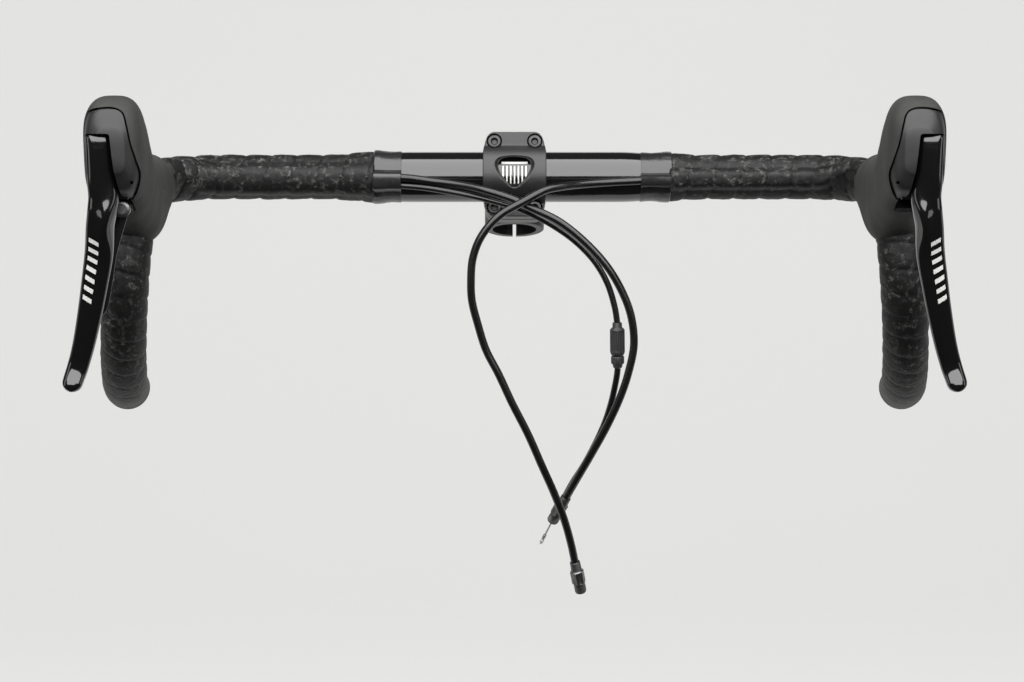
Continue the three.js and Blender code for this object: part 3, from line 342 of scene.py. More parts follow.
def bar_marks(k):
    """plain centring ticks printed on the bar inside the clamp window"""
    x = k.n("ShaderNodeSeparateXYZ", None, Vector=k.tc.outputs["Object"])
    xm = k.maths("MULTIPLY", x.outputs[0], 1000.0)
    zm = k.maths("MULTIPLY_ADD", x.outputs[2], 1000.0, -BAR.z)
    ax = k.maths("ABSOLUTE", xm)
    cell = k.maths("ABSOLUTE", k.maths("SUBTRACT", k.maths("FRACT", k.maths("MULTIPLY_ADD", xm, 1 / 2.4, 0.5)), 0.5))
    tick = k.maths("LESS_THAN", cell, 0.17)
    low = k.maths("MULTIPLY", k.maths("GREATER_THAN", zm, -3.4), k.maths("LESS_THAN", zm, 7.6))
    band = k.maths("MULTIPLY", k.maths("MULTIPLY", tick, low), k.maths("LESS_THAN", ax, 8.2))
    line_ = k.maths("MULTIPLY", k.maths("LESS_THAN", k.maths("ABSOLUTE", k.maths("SUBTRACT", zm, 9.5)), 0.6), k.maths("LESS_THAN", ax, 8.2))
    front = k.maths("LESS_THAN", x.outputs[1], BAR.y * 0.001)
    return k.maths("MULTIPLY", k.maths("MAXIMUM", band, line_), front)


def blade_marks(k):
    """a row of equal slanting bars, from the piece's own length and width coordinates"""
    uv = k.n("ShaderNodeSeparateXYZ", None, Vector=k.tc.outputs["UV"])
    u, v = uv.outputs[0], uv.outputs[1]
    pos = k.maths("MULTIPLY_ADD", u, 26.0, k.maths("MULTIPLY", v, 0.45))
    bar = k.maths("LESS_THAN", k.maths("FRACT", pos), 0.46)
    lead = k.maths("MULTIPLY_ADD", v, 0.0173, u)
    span = k.maths("MULTIPLY", k.maths("GREATER_THAN", lead, 10.0 / 26), k.maths("LESS_THAN", lead, 17.0 / 26))
    wide = k.maths("LESS_THAN", k.maths("ABSOLUTE", k.maths("SUBTRACT", v, 0.34)), 0.36)
    return k.maths("MULTIPLY", k.maths("MULTIPLY", bar, span), wide)


def mat_grainy(name, lo, hi, rough, scale, depth, rough_var=0.12, metallic=0.0, spec=0.5, big=40.0, pits=False):
    k = Nodes(name)
    big_n = k.noise(big, 4, 0.6)
    fine = k.noise(scale, 3, 0.6)
    k.put("Base Color", k.mix(k.ramp(big_n, (0.3, 0.0), (0.7, 1.0)), lo if hasattr(lo, "__len__") else g(lo), hi if hasattr(hi, "__len__") else g(hi)))
    k.put("Roughness", k.maths("MULTIPLY_ADD", fine, rough_var, rough - rough_var / 2))
    nb = k.bump(fine, depth, 0.7)
    if pits:
        nb = k.bump(k.voronoi(scale * 0.8, "F1"), depth * 1.2, 0.55, nb)
    k.put("Normal", nb)
    k.b.inputs["Metallic"].default_value = metallic
    k.b.inputs["Specular IOR Level"].default_value = spec
    return k.m


def mat_turned(name, lo, hi, rough):
    """turned metal: fine rings, streaks and a little grime"""
    k = Nodes(name)
    streak = k.n("ShaderNodeMapping", None, Vector=k.tc.outputs["Object"], Scale=(400.0, 400.0, 5200.0)).outputs[0]
    s = k.noise(1.0, 3, 0.5, 0.0, streak)
    grime = k.noise(300, 4, 0.6)
    k.put("Base Color", k.mix(grime, g(lo), g(hi))).put("Roughness", k.maths("MULTIPLY_ADD", s, 0.2, rough)).put("Normal", k.bump(s, 0.00002, 0.5))
    k.b.inputs["Metallic"].default_value = 1.0
    return k.m


MT = {
    "tape": mat_tape(), "vinyl": mat_vinyl(),
    "bar": mat_gloss("bar_gloss_black", 0.003, bar_marks),
    "blade": mat_gloss("blade_gloss_black", 0.0025, blade_marks),
    "paddle": mat_gloss("paddle_gloss_black", 0.006),
    "stem": mat_grainy("stem_satin_black", 0.007, 0.011, 0.40, 2300, 0.00004, 0.16, 0.0, 0.5, 55, True),
    "rubber": mat_grainy("hood_rubber", (0.019, 0.0187, 0.0178), (0.030, 0.0295, 0.028), 0.74, 1900, 0.00010, 0.2, 0.0, 0.35, 70, True),
    "shell": mat_grainy("shell_nylon", 0.009, 0.013, 0.46, 2600, 0.000018, 0.12, 0.0, 0.42, 80),
    "hose": mat_grainy("hose_jacket", 0.0035, 0.006, 0.24, 1400, 0.00003, 0.16, 0.0, 0.5, 60),
    "bolt": mat_grainy("bolt_black_oxide", 0.035, 0.06, 0.36, 1800, 0.00003, 0.2, 1.0, 0.5, 200),
    "nylon": mat_grainy("moulded_nylon", 0.014, 0.024, 0.48, 1700, 0.00005, 0.2, 0.0, 0.45, 90, True),
    "steel": mat_turned("ground_steel", 0.34, 0.52, 0.24), "alloy": mat_turned("machined_alloy", 0.11, 0.20, 0.28),
    "bladder": mat_grainy("thin_rubber", 0.012, 0.02, 0.7, 900, 0.0001),
}
# ------------------------------------------------------------------ mesh helpers


def obj_from(name, verts, faces, material, uvs=None, smooth=True, sharp=40):
    me = bpy.data.meshes.new(name)
    me.from_pydata([tuple(v) for v in verts], [], faces)
    me.validate()
    if uvs:
        layer = me.uv_layers.new(name="UVMap")
        for p in me.polygons:
            for li in p.loop_indices:
                layer.data[li].uv = uvs[me.loops[li].vertex_index]
    o = bpy.data.objects.new(name, me)
    bpy.context.scene.collection.objects.link(o)
    me.materials.append(material)
    if smooth:
        for p in me.polygons:
            p.use_smooth = True
        if sharp:
            me.set_sharp_from_angle(angle=math.radians(sharp))
    return o


def fix_normals(o):
    bm = bmesh.new()
    bm.from_mesh(o.data)
    bmesh.ops.recalc_face_normals(bm, faces=bm.faces)
    vol = bm.calc_volume(signed=True)
    if vol < 0:
        bmesh.ops.reverse_faces(bm, faces=bm.faces)
    bm.to_mesh(o.data)
    bm.free()


def rows_obj(name, rows, material, loop_rows=False, caps=True, uvs=None, sharp=40, mm=True):
    """closed rings of points, joined row to row"""
    n, m = len(rows), len(rows[0])
    verts = [W(v) if mm else v for r in rows for v in r]
    faces = []
    for i in range(n if loop_rows else n - 1):
        a, b = i * m, ((i + 1) % n) * m
        for j in range(m):
            k = (j + 1) % m
            faces.append((a + j, a + k, b + k, b + j))
    if caps and not loop_rows:
        faces.append(tuple(range(m))[::-1])
        faces.append(tuple((n - 1) * m + j for j in range(m)))
    o = obj_from(name, verts, faces, material, uvs, True, None)
    fix_normals(o)
    if sharp:
        o.data.set_sharp_from_angle(angle=math.radians(sharp))
    return o


def lathe(name, p, d, profile, material, sides=48, hexes=(), sharp=35, mm=True):
    """profile: (distance along d, radius) pairs from p; hexes: indices of rings that are hexagons"""
    d = Vector(d).normalized()
    a = d.orthogonal().normalized()
    if abs(d.z) < 0.9:
        a = d.cross(Vector((0, 0, 1))).normalized()
    b = d.cross(a)
    rows = []
    for i, (h, r) in enumerate(profile):
        row = []
        for j in range(sides):
            w = PI2 * j / sides
            q = r
            if i in hexes:
                q = r / math.cos(((w + math.pi / 6) % (math.pi / 3)) - math.pi / 6) * math.cos(math.pi / 6)
            row.append(Vector(p) + d * h + (a * math.cos(w) + b * math.sin(w)) * q)
        rows.append(row)
    return rows_obj(name, rows, material, sharp=sharp, mm=mm)


def finish(o, body=ROOT, slot=None, *nodes):
    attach(o, body)
    if nodes:
        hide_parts(*nodes)
    return o


def applied(o):
    """modifiers made real"""
    dg = bpy.context.evaluated_depsgraph_get()
    me = bpy.data.meshes.new_from_object(o.evaluated_get(dg))
    old = o.data
    o.modifiers.clear()
    o.data = me
    bpy.data.meshes.remove(old)
    return o


def closed(o):
    bm = bmesh.new()
    bm.from_mesh(o.data)
    bad = any(not e.is_manifold for e in bm.edges)
    bm.free()
    return bad


def boolean(o, cutter, op="DIFFERENCE"):
    m = o.modifiers.new("b", "BOOLEAN")
    m.operation, m.object, m.solver = op, cutter, "MANIFOLD"
    bpy.context.view_layer.update()
    before = len(o.data.polygons)
    keep = o.data.copy()
    applied(o)
    if len(o.data.polygons) < 4 or (len(o.data.polygons) == before and closed(o)):
        o.data = keep
        m = o.modifiers.new("b", "BOOLEAN")
        m.operation, m.object, m.solver = op, cutter, "EXACT"
        bpy.context.view_layer.update()
        applied(o)
    bpy.data.objects.remove(cutter, do_unlink=True)
    return o


# ------------------------------------------------------------------ lines first


def cord_curve(name, pts, radius, material, count):
    path, length = spaced(pts, count)
    cu = bpy.data.curves.new(name, "CURVE")
    cu.dimensions = "3D"
    cu.bevel_depth = radius * 0.001
    cu.bevel_resolution = 5
    cu.use_fill_caps = True
    sp = cu.splines.new("POLY")
    sp.points.add(len(path) - 1)
    for q, v in zip(sp.points, path):
        q.co = (*W(v), 1)
    sp.use_smooth = True
    o = bpy.data.objects.new(name, cu)
    bpy.context.scene.collection.objects.link(o)
    cu.materials.append(material)
    return o, path, length


front_hose, front_path, front_len = cord_curve("front_hose", FRONT, 2.5, MT["hose"], 230)
rear_hose, rear_path, rear_len = cord_curve("rear_hose", REAR, 2.5, MT["hose"], 230)
shift_up, shift_path, shift_len = cord_curve("shift_line_upper", SHIFT, 2.0, MT["hose"], 190)
shift_low, low_path, low_len = cord_curve("shift_line_lower", SHIFT_LOW, 2.0, MT["hose"], 60)


def coupling(name, path):
    p, d = path[-1], (path[-1] - path[-2]).normalized()
    prof = [(-0.4, 2.75), (-0.4, 3.0), (0.0, 3.25), (5.6, 3.45), (6.0, 3.7), (6.4, 4.2), (6.6, 4.55), (14.2, 4.55), (14.6, 4.2), (14.9, 3.55), (15.6, 3.45)]
    for i in range(5):
        h = 16.2 + i * 1.05
        prof += [(h, 3.7), (h + 0.45, 3.7), (h + 0.6, 3.4), (h + 0.9, 3.4)]
    prof += [(21.7, 3.4), (22.0, 3.0), (22.0, 1.6), (19.5, 1.5)]
    return lathe(name, p, d, prof, MT["alloy"], 60, hexes=(6, 7))


front_cpl, rear_cpl = coupling("front_coupling", front_path), coupling("rear_coupling", rear_path)
_d = (low_path[-1] - low_path[-2]).normalized()
ferrule = lathe("housing_ferrule", low_path[-1], _d, [(-0.5, 2.1), (-0.5, 2.5), (0, 2.65), (6.5, 2.65), (7.2, 2.45), (8.8, 2.4), (9.7, 2.1), (10.0, 1.6), (10.0, 0.8), (8, 0.75)], MT["nylon"], 40)
wire_end = lathe("wire_and_crimp", low_path[-1], _d, [(6, 0.58)] + [(6 + 2.3 * i, 0.6 if i % 2 else 0.57) for i in range(1, 11)] + [(29.6, 0.6), (29.7, 1.0), (30.2, 1.12), (33, 1.12), (33.2, 0.85), (34.2, 0.85), (34.4, 1.12), (37.2, 1.08), (38.0, 0.6)], MT["steel"], 24)
ad = (ADJ_END - ADJ_TOP).normalized()
# adjuster body: collar, shoulder and a grip with moulded ribs
rows = []
prof = [(-0.2, 2.1), (-0.2, 2.7), (0.2, 2.95), (2.4, 3.0), (3.0, 3.3), (3.8, 4.3), (4.4, 4.6)] + [(4.4 + 0.5 * i, 4.62) for i in range(1, 28)] + [(18.4, 4.6), (19.4, 4.3), (20.2, 3.9), (20.55, 3.6), (20.55, 2.4)]
_a = ad.orthogonal().normalized()
_b = ad.cross(_a)
for h, r in prof:
    row = []
    for j in range(96):
        w = PI2 * j / 96
        rib = 0.0
        if 4.4 < h < 18.4:
            e = sstep(h, 4.4, 5.4) * (1 - sstep(h, 17.2, 18.4))
            rib = -0.42 * e * (0.5 - 0.5 * math.cos(w * 16)) ** 2
        row.append(ADJ_TOP + ad * h + (_a * math.cos(w) + _b * math.sin(w)) * (r + rib))
    rows.append(row)
adj_body = rows_obj("adjuster_grip", rows, MT["nylon"], sharp=45)
rows = []
for h, r in [(20.9, 2.2), (20.9, 3.5), (21.2, 4.0), (21.7, 4.15), (25.2, 4.15), (25.8, 3.8), (26.1, 3.1), (27.6, 2.9), (28.3, 2.7), (28.4, 2.2)]:
    row = []
    for j in range(96):
        w = PI2 * j / 96
        q = r - (0.3 * (0.5 - 0.5 * math.cos(w * 20)) if 21.1 < h < 25.5 else 0)
        row.append(ADJ_TOP + ad * h + (_a * math.cos(w) + _b * math.sin(w)) * q)
    rows.append(row)
adj_barrel = rows_obj("adjuster_knob", rows, MT["nylon"], sharp=45)

finish(front_hose, ROOT, "hose_black", "front_brake_hose")
finish(rear_hose, ROOT, "hose_black", "rear_brake_hose")
finish(shift_up, ROOT, "hose_black", "shift_housing_upper")
finish(shift_low, ROOT, "hose_black", "shift_housing_lower")
finish(front_cpl, ROOT, "alloy", "front_hose_coupling")
finish(rear_cpl, ROOT, "alloy", "rear_hose_coupling")
finish(ferrule, ROOT, "nylon", "shift_ferrule")
finish(wire_end, ROOT, "steel", "shift_wire_end")
finish(adj_body, ROOT, "nylon", "adjuster_body")
finish(adj_barrel, "adjuster_barrel_body", "nylon", "adjuster_barrel")

# ------------------------------------------------------------------ handlebar
sides = 64
out_rows, in_rows = [], []
ss = [i * 2.2 for i in range(int(HALF_LENGTH / 2.2) + 1)] + [HALF_LENGTH]
full = [-s for s in reversed(ss[1:])] + ss
for s in full:
    p, t, a, b = station(s)
    out_rows.append([p + (a * math.cos(PI2 * j / sides) + b * math.sin(PI2 * j / sides)) * bar_radius(s) for j in range(sides)])
for s in full[::-1][::3] + [full[0]]:
    p, t, a, b = station(s)
    in_rows.append([p + (a * math.cos(PI2 * j / sides) + b * math.sin(PI2 * j / sides)) * (bar_radius(s) - 2.1) for j in range(sides)])
bar = rows_obj("bar_tube", out_rows + in_rows, MT["bar"], loop_rows=True)
finish(bar, ROOT, "bar_gloss", "handlebar")

# ------------------------------------------------------------------ bar tape


def fbm(p, f, seed=0.0):
    q = Vector((p.x * f + seed, p.y * f - seed * 0.7, p.z * f + seed * 0.3))
    return noise.noise(q) + 0.5 * noise.noise(q * 2.03) + 0.25 * noise.noise(q * 4.1)


def tape(name, s0, s1, side, pitch, hand, ridge=None, base=None, hump=0.95, seed=0.0, sides=84, ds=0.8, lip=0.0, step=0.45):
    """a helical wrap; ridge: (degrees at s, half width, lift) where a line runs under the tape"""
    rows, ndrift = [], int((s1 - s0) / ds)
    for i in range(ndrift + 1):
        s = lerp(s0, s1, i / ndrift)
        p, t, a, b = station(s)
        n = t.cross(Vector((0, 0, 1)))
        has = n.length > 0.2
        n = n.normalized() if has else a
        z = n.cross(t)
        r0 = (base or tape_radius)(s)
        endfade = min(1.0, (s - s0) / 1.4, (s1 - s) / 1.4)
        row = []
        for j in range(sides):
            w = PI2 * j / sides
            d = a * math.cos(w) + b * math.sin(w)
            lift = 0.0
            if ridge and has:
                deg, half, up = ridge
                m = math.radians(deg(s))
                c = n * math.cos(m) + z * math.sin(m)
                off = math.degrees(math.acos(max(-1, min(1, d.dot(c))))) / half
                lift = up * (1 - sstep(off, 0.55, 1.95))
            ph = ((s - s0) / pitch + hand * w / PI2 + 0.03 * fbm(p + d * 14, 0.035, seed + 5)) % 1.0
            k = 1 - abs(2 * ph - 1) ** 3.2
            wrap = hump * (k - 1) + step * (ph - 0.5) * sstep(1 - ph, 0.0, 0.09)
            q = p + d * r0
            nz = 0.20 * fbm(q, 0.075, seed) + 0.17 * fbm(q, 0.30, seed + 9)
            row.append(p + d * (r0 + lift + wrap * 0.85 + nz - 0.9 * (1 - endfade) ** 2 + lip * 0))
        rows.append(row)
    inner = []
    for i in range(9):
        s = lerp(s1, s0, i / 8)
        p, t, a, b = station(s)
        inner.append([p + (a * math.cos(PI2 * j / sides) + b * math.sin(PI2 * j / sides)) * (bar_radius(s) + 0.12) for j in range(sides)])
    if side < 0:
        rows = [[Vector((-v.x, v.y, v.z)) for v in r] for r in rows]
        inner = [[Vector((-v.x, v.y, v.z)) for v in r] for r in inner]
    return rows_obj(name, rows + inner, MT["tape"], loop_rows=True, sharp=60)


lift1 = lambda s: 4.6
tl = tape("tape_top_l", 97.2, 247, 1, 16.2, 1, (lambda s: climb(s, -3, 40), 17, 4.2), seed=2.0, hump=0.75, step=0.55, sides=104, ds=0.62)
tr = tape("tape_top_r", 88.0, 247, -1, 16.2, -1, (lambda s: climb(s, -6, 39), 27, 3.9), seed=11.0, hump=0.75, step=0.55, sides=104, ds=0.62)
dl = tape("tape_drop_l", 286, HALF_LENGTH - 0.2, 1, 13.2, 1, seed=21.0, hump=0.42, step=0.6, sides=104, ds=0.62)
dr = tape("tape_drop_r", 286, HALF_LENGTH - 0.2, -1, 13.2, -1, seed=37.0, hump=0.42, step=0.6, sides=104, ds=0.62)
finish(tl, ROOT, "bar_tape", "bar_tape_top_left")
finish(tr, ROOT, "bar_tape", "bar_tape_top_right")
finish(dl, ROOT, "bar_tape", "bar_tape_drop_left")
finish(dr, ROOT, "bar_tape", "bar_tape_drop_right")


def vinyl(name, s0, s1, side, ridge, seed, turns, slot_nodes):
    """stretched electrical tape: a few overlapping turns with puckered edges"""
    rows, sides, n = [], 120, 56
    for i in range(n + 1):
        f = i / n
        row = []
        for j in range(sides):
            w = PI2 * j / sides
            edge = (1.1 * math.sin(w + seed) * (0.5 - abs(f - 0.5)) * 0 + 0.7 * math.sin(w * 1.0 + seed)) * (1 if f > 0.5 else 0.4) * abs(2 * f - 1)
            s = lerp(s0, s1, f) + edge
            p, t, a, b = station(s)
            nn = t.cross(Vector((0, 0, 1))).normalized()
            z = nn.cross(t)
            d = a * math.cos(w) + b * math.sin(w)
            deg, half, up = ridge
            m = math.radians(deg)
            c = nn * math.cos(m) + z * math.sin(m)
            off = math.degrees(math.acos(max(-1, min(1, d.dot(c))))) / half
            lift = up * (1 - sstep(off, 0.55, 1.3))
            base = lerp(bar_radius(s) + 0.42, tape_radius(s) + 0.22, sstep(s, s0 + 5, s1 - 1))
            wrap = 0.0
            for q in range(1, turns + 1):
                at = q / (turns + 1) + 0.16 * math.sin(w + seed * q) / (turns + 1) * 1.6
                wrap += 0.13 * sstep(f, at - 0.012, at + 0.012)
            u = p + d * base
            pucker = 0.16 * fbm(Vector((u.x * 0.5, u.y, u.z)), 0.22, seed) + 0.06 * math.sin(w * 23 + seed) * (1 if f > 0.8 else 0.3)
            end = min(1.0, f / 0.03, (1 - f) / 0.03)
            row.append(p + d * (base + lift + wrap + pucker * 0.8 - 0.3 * (1 - end)))
        rows.append(row)
    inner = []
    for i in range(4):
        s = lerp(s1, s0, i / 3)
        p, t, a, b = station(s)
        inner.append([p + (a * math.cos(PI2 * j / sides) + b * math.sin(PI2 * j / sides)) * (bar_radius(s) + 0.1) for j in range(sides)])
    if side < 0:
        rows = [[Vector((-v.x, v.y, v.z)) for v in r] for r in rows]
        inner = [[Vector((-v.x, v.y, v.z)) for v in r] for r in inner]
    o = rows_obj(name, rows + inner, MT["vinyl"], loop_rows=True, sharp=50)
    finish(o, ROOT, "finishing_tape", slot_nodes)
    return o


vinyl("vinyl_l", 79.2, 98.4, 1, (-4, 12.5, 5.7), 1.3, 2, "finishing_tape_left")
vinyl("vinyl_r", 71.2, 89.0, -1, (-5.5, 19.0, 5.7), 4.1, 2, "finishing_tape_right")

# bar end plugs
for side, nm in ((1, "left"), (-1, "right")):
    p, t, a, b = station(HALF_LENGTH)
    if side < 0:
        p, t = Vector((-p.x, p.y, p.z)), Vector((-t.x, t.y, t.z))
    o = lathe("end_plug_" + nm, p, t, [(-14, 8.4), (-14, 9.0), (-13, 9.3), (-1, 9.5), (0.1, 9.6), (0.2, 13.2), (0.5, 14.0), (1.2, 14.35), (2.2, 14.2), (3.0, 13.5), (3.4, 12.3), (3.5, 10.8), (3.0, 10.4), (2.9, 10.0), (3.3, 9.4), (3.6, 6), (3.7, 3), (3.7, 0.5)], MT["nylon"], 72)
    finish(o, ROOT, "nylon", "bar_end_plug_" + nm)


# ------------------------------------------------------------------ hoods and shells
HOOD = [[-36.5, 227, -3.4, 17, 17], [-46, 228.2, -5.2, 17.8, 21.6], [-60, 229.4, -9.8, 17.6, 27.5], [-75, 230.2, -9.2, 17.4, 29], [-90, 229.8, -3.5, 16.6, 26.5],
        [-105, 229.2, 2, 16.2, 25.5], [-120, 229, 9.5, 16.6, 28], [-134, 229, 18.2, 17.2, 30.2], [-148, 229, 23.1, 17.4, 30.2], [-159, 229, 23.8, 17, 28.4],
        [-167, 229, 22.8, 15.2, 23.6], [-171.5, 229, 22.5, 11.5, 16.5]]
SEAM_P, SEAM_Q = Vector((0, -161.5, 47)), Vector((0, -146, -18))      # the seam between rubber and shell, seen from the side


def pchip(rows, y):
    """smooth values between the ring rows (first column falls from row to row)"""
    ys = [r[0] for r in rows]
    if y >= ys[0]:
        return rows[0][1:]
    if y <= ys[-1]:
        return rows[-1][1:]
    i = max(k for k in range(len(ys) - 1) if ys[k] >= y)
    h = ys[i + 1] - ys[i]
    t = (y - ys[i]) / h
    out = []
    for c in range(1, len(rows[0])):
        d = [(rows[k + 1][c] - rows[k][c]) / (ys[k + 1] - ys[k]) for k in range(len(rows) - 1)]

        def m(k):
            if k == 0:
                return d[0]
            if k == len(rows) - 1:
                return d[-1]
            return 0.0 if d[k - 1] * d[k] <= 0 else 2 * d[k - 1] * d[k] / (d[k - 1] + d[k])
        a, b = rows[i][c], rows[i + 1][c]
        t2, t3 = t * t, t * t * t
        out.append((2 * t3 - 3 * t2 + 1) * a + (t3 - 2 * t2 + t) * h * m(i) + (-2 * t3 + 3 * t2) * b + (t3 - t2) * h * m(i + 1))
    return out


def superxy(w, e):
    c, s = math.cos(w), math.sin(w)
    return math.copysign(abs(c) ** (2 / e), c), math.copysign(abs(s) ** (2 / e), s)


def hood_xy(w, y):
    k = sstep(-y, 112, 156)
    e = lerp(2.5, 4.6, k) if math.sin(w) < 0 else lerp(2.5, 3.0, k)
    return superxy(w, e)


def hood_rows(shrink, n=110, m=112, y0=-36.5, y1=-171.5, front_open=False):
    rows = []
    for i in range(n + 1):
        f = i / n
        y = lerp(y0, y1, f)
        cx, cz, hw, hh = pchip(HOOD, y)
        cx += 1.2 * sstep(-y, 112, 140)
        if y1 <= -171.5 and y < -166:                    # rounded nose
            k = (y + 166) / -5.5
            hw, hh = hw * (1 - 0.10 * k * k), hh * (1 - 0.10 * k * k)
        row = []
        for j in range(m):
            w = PI2 * j / m
            x, z = hood_xy(w, y)
            row.append(Vector((cx + x * (hw - shrink), y, cz + z * (hh - shrink))))
        rows.append(row)
    return rows


def mirrored(rows, side):
    return rows if side > 0 else [[Vector((-v.x, v.y, v.z)) for v in r] for r in rows]


def bisect(o, co, no, clear_outer=True):
    """cut by a plane and closed; keeps the side behind the normal, or ahead of it""" 
    bm = bmesh.new()
    bm.from_mesh(o.data)
    geom = bm.verts[:] + bm.edges[:] + bm.faces[:]
    res = bmesh.ops.bisect_plane(bm, geom=geom, plane_co=co, plane_no=no, clear_outer=clear_outer, clear_inner=not clear_outer)
    edges = [e for e in res["geom_cut"] if isinstance(e, bmesh.types.BMEdge)]
    bmesh.ops.holes_fill(bm, edges=edges)
    bmesh.ops.recalc_face_normals(bm, faces=bm.faces)
    bm.to_mesh(o.data)
    bm.free()


def box_obj(name, lo, hi):
    v = [(x, y, z) for x in (lo[0], hi[0]) for y in (lo[1], hi[1]) for z in (lo[2], hi[2])]
    f = [(0, 1, 3, 2), (4, 6, 7, 5), (0, 4, 5, 1), (2, 3, 7, 6), (0, 2, 6, 4), (1, 5, 7, 3)]
    o = obj_from(name, [W(p) for p in v], f, MT["shell"], None, False, None)
    fix_normals(o)
    return o


def prism(name, pts, axis, a, b):
    """pts: outline in the two other axes (in order), from a to b along axis"""
    lo, hi = [], []
    for p in pts:
        q = list(p)
        q.insert(axis, a)
        lo.append(Vector(q))
        q = list(p)
        q.insert(axis, b)
        hi.append(Vector(q))
    n = len(pts)
    faces = [tuple(range(n)), tuple(range(2 * n - 1, n - 1, -1))] + [(i, (i + 1) % n, n + (i + 1) % n, n + i) for i in range(n)]
    o = obj_from(name, [W(v) for v in lo + hi], faces, MT["shell"], None, False, None)
    fix_normals(o)
    return o


def solidified(o, mm, bevel=0.45, angle=50):
    m = o.modifiers.new("s", "SOLIDIFY")
    m.thickness, m.offset, m.use_even_offset, m.use_rim = mm * 0.001, -1, False, True
    bpy.context.view_layer.update()
    applied(o)
    return o


def bevelled(o, mm=0.4, angle=50, segments=2):
    m = o.modifiers.new("v", "BEVEL")
    m.width, m.segments, m.limit_method, m.angle_limit = mm * 0.001, segments, "ANGLE", math.radians(angle)
    m.use_clamp_overlap, m.harden_normals = True, False
    w = o.modifiers.new("w", "WEIGHTED_NORMAL")
    w.keep_sharp = True
    bpy.context.view_layer.update()
    applied(o)
    for p in o.data.polygons:
        p.use_smooth = True
    return o


SEAM_D = (SEAM_Q - SEAM_P).normalized()
SEAM_N = Vector((0, SEAM_D.z, -SEAM_D.y))            # across the seam
if SEAM_N.y > 0:
    SEAM_N = -SEAM_N                                  # points forward, to the shell


SHELL_OUT = [(252, 20), (251, 37), (246.5, 41.8), (239.5, 45.1), (228.4, 45.9), (223.6, 43.6), (221.2, 36.6), (219.0, 26), (216.4, 16.6), (214.9, 9.6), (215.6, 3.4), (217.6, -1.6), (220.8, -5.6), (224.0, -9), (226, -60), (252, -60)]


def smooth_poly(pts, keep_from, sub=6):
    v = [Vector((p[0], p[1], 0)) for p in pts]
    return [(q.x, q.y) for q in (catmull(v, k / (sub * (len(v) - 1))) for k in range(sub * (len(v) - 1) + 1))]


def grown(pts, d):
    """the outline moved outwards by d"""
    n, out = len(pts), []
    area2 = sum(pts[i][0] * pts[(i + 1) % n][1] - pts[(i + 1) % n][0] * pts[i][1] for i in range(n))
    sg = 1 if area2 > 0 else -1
    for i in range(n):
        a, b, c = Vector(pts[i - 1]), Vector(pts[i]), Vector(pts[(i + 1) % n])
        e1, e2 = (b - a).normalized(), (c - b).normalized()
        nn = Vector((e1.y + e2.y, -(e1.x + e2.x))) * sg
        nn.normalize()
        out.append((b.x + nn.x * d, b.y + nn.y * d))
    return out


def front_region(name, side, d, back):
    """what lies in front of the seam and inside the shell's outline"""
    core = smooth_poly(SHELL_OUT[:14], 0)
    o = prism_y(name, [(side * x, z) for x, z in grown(core + SHELL_OUT[14:], d)], -195, -138)
    bisect(o, W(SEAM_P - SEAM_N * back), SEAM_N, False)
    return o


def prism_y(name, pts, y0, y1):
    n = len(pts)
    vs = [W((x, yy, z)) for yy in (y0, y1) for x, z in pts]
    o = obj_from(name, vs, [tuple(range(n)), tuple(range(2 * n - 1, n - 1, -1))] + [(q, (q + 1) % n, n + (q + 1) % n, n + q) for q in range(n)], MT["shell"], None, False, None)
    fix_normals(o)
    return o


def hood_skin(name, side, shrink, thick, material):
    rows = hood_rows(shrink)
    tip = rows[-1]
    cen = sum(tip, Vector()) / len(tip)
    for k in range(1, 10):                            # dome over the nose
        q = k / 9.0
        rows.append([v.lerp(cen, 1 - math.cos(q * math.pi / 2) if k < 9 else 0.97) + Vector((0, -1.6 * math.sin(q * math.pi / 2), 0)) for v in tip])
    rows = mirrored(rows, side)
    n, m = len(rows), len(rows[0])
    faces = [(i * m + j, i * m + (j + 1) % m, (i + 1) * m + (j + 1) % m, (i + 1) * m + j) for i in range(n - 1) for j in range(m)] + [tuple((n - 1) * m + j for j in range(m))]
    o = obj_from(name, [W(v) for r in rows for v in r], faces, material, None, True, None)
    bm = bmesh.new()
    bm.from_mesh(o.data)
    bmesh.ops.recalc_face_normals(bm, faces=bm.faces)
    c = sum((f.calc_center_median() for f in bm.faces), Vector()) / len(bm.faces)
    if sum(1 if f.normal.dot(f.calc_center_median() - c) > 0 else -1 for f in bm.faces) < 0:
        bmesh.ops.reverse_faces(bm, faces=bm.faces)
    bm.to_mesh(o.data)
    bm.free()
    return solidified(o, thick)


def hood_parts(side):
    nm = "left" if side > 0 else "right"
    hood = hood_skin("hood_" + nm, side, 0.0, 1.9, MT["rubber"])
    boolean(hood, front_region("cut", side, 1.1, 0.6))
    for lo, hi in (((221.6, -180, -60), (243.2, -134.5, -1.2)), ((221.6, -135.2, -60), (236.4, -128, -6.3))):
        if side < 0:
            lo, hi = (-hi[0], lo[1], lo[2]), (-lo[0], hi[1], hi[2])
        boolean(hood, box_obj("cut", lo, hi))
    bevelled(hood, 0.55, 55, 3)
    finish(hood, ROOT, "hood_rubber", "hood_rubber_" + nm)
    shell = hood_skin("shell_" + nm, side, 1.0, 1.9, MT["shell"])
    boolean(shell, front_region("keep", side, 0.0, -0.1), "INTERSECT")
    win = [(230.0, 31.0), (230.8, 32.0), (243.8, 32.0), (244.7, 31.0), (245.1, -62), (219.6, -62), (220.4, -12), (225.0, -4), (228.0, 12)]
    boolean(shell, prism_y("cut", [(side * x, z) for x, z in win], -190, -130))
    boolean(shell, lathe("dot", Vector((side * 218.4, -185, 4.2)), Vector((0, 1, 0)), [(0, 0.95), (40, 0.95)], MT["shell"], 24))
    bevelled(shell, 0.5, 50, 3)
    finish(shell, ROOT, "shell_plastic", "front_shell_" + nm)


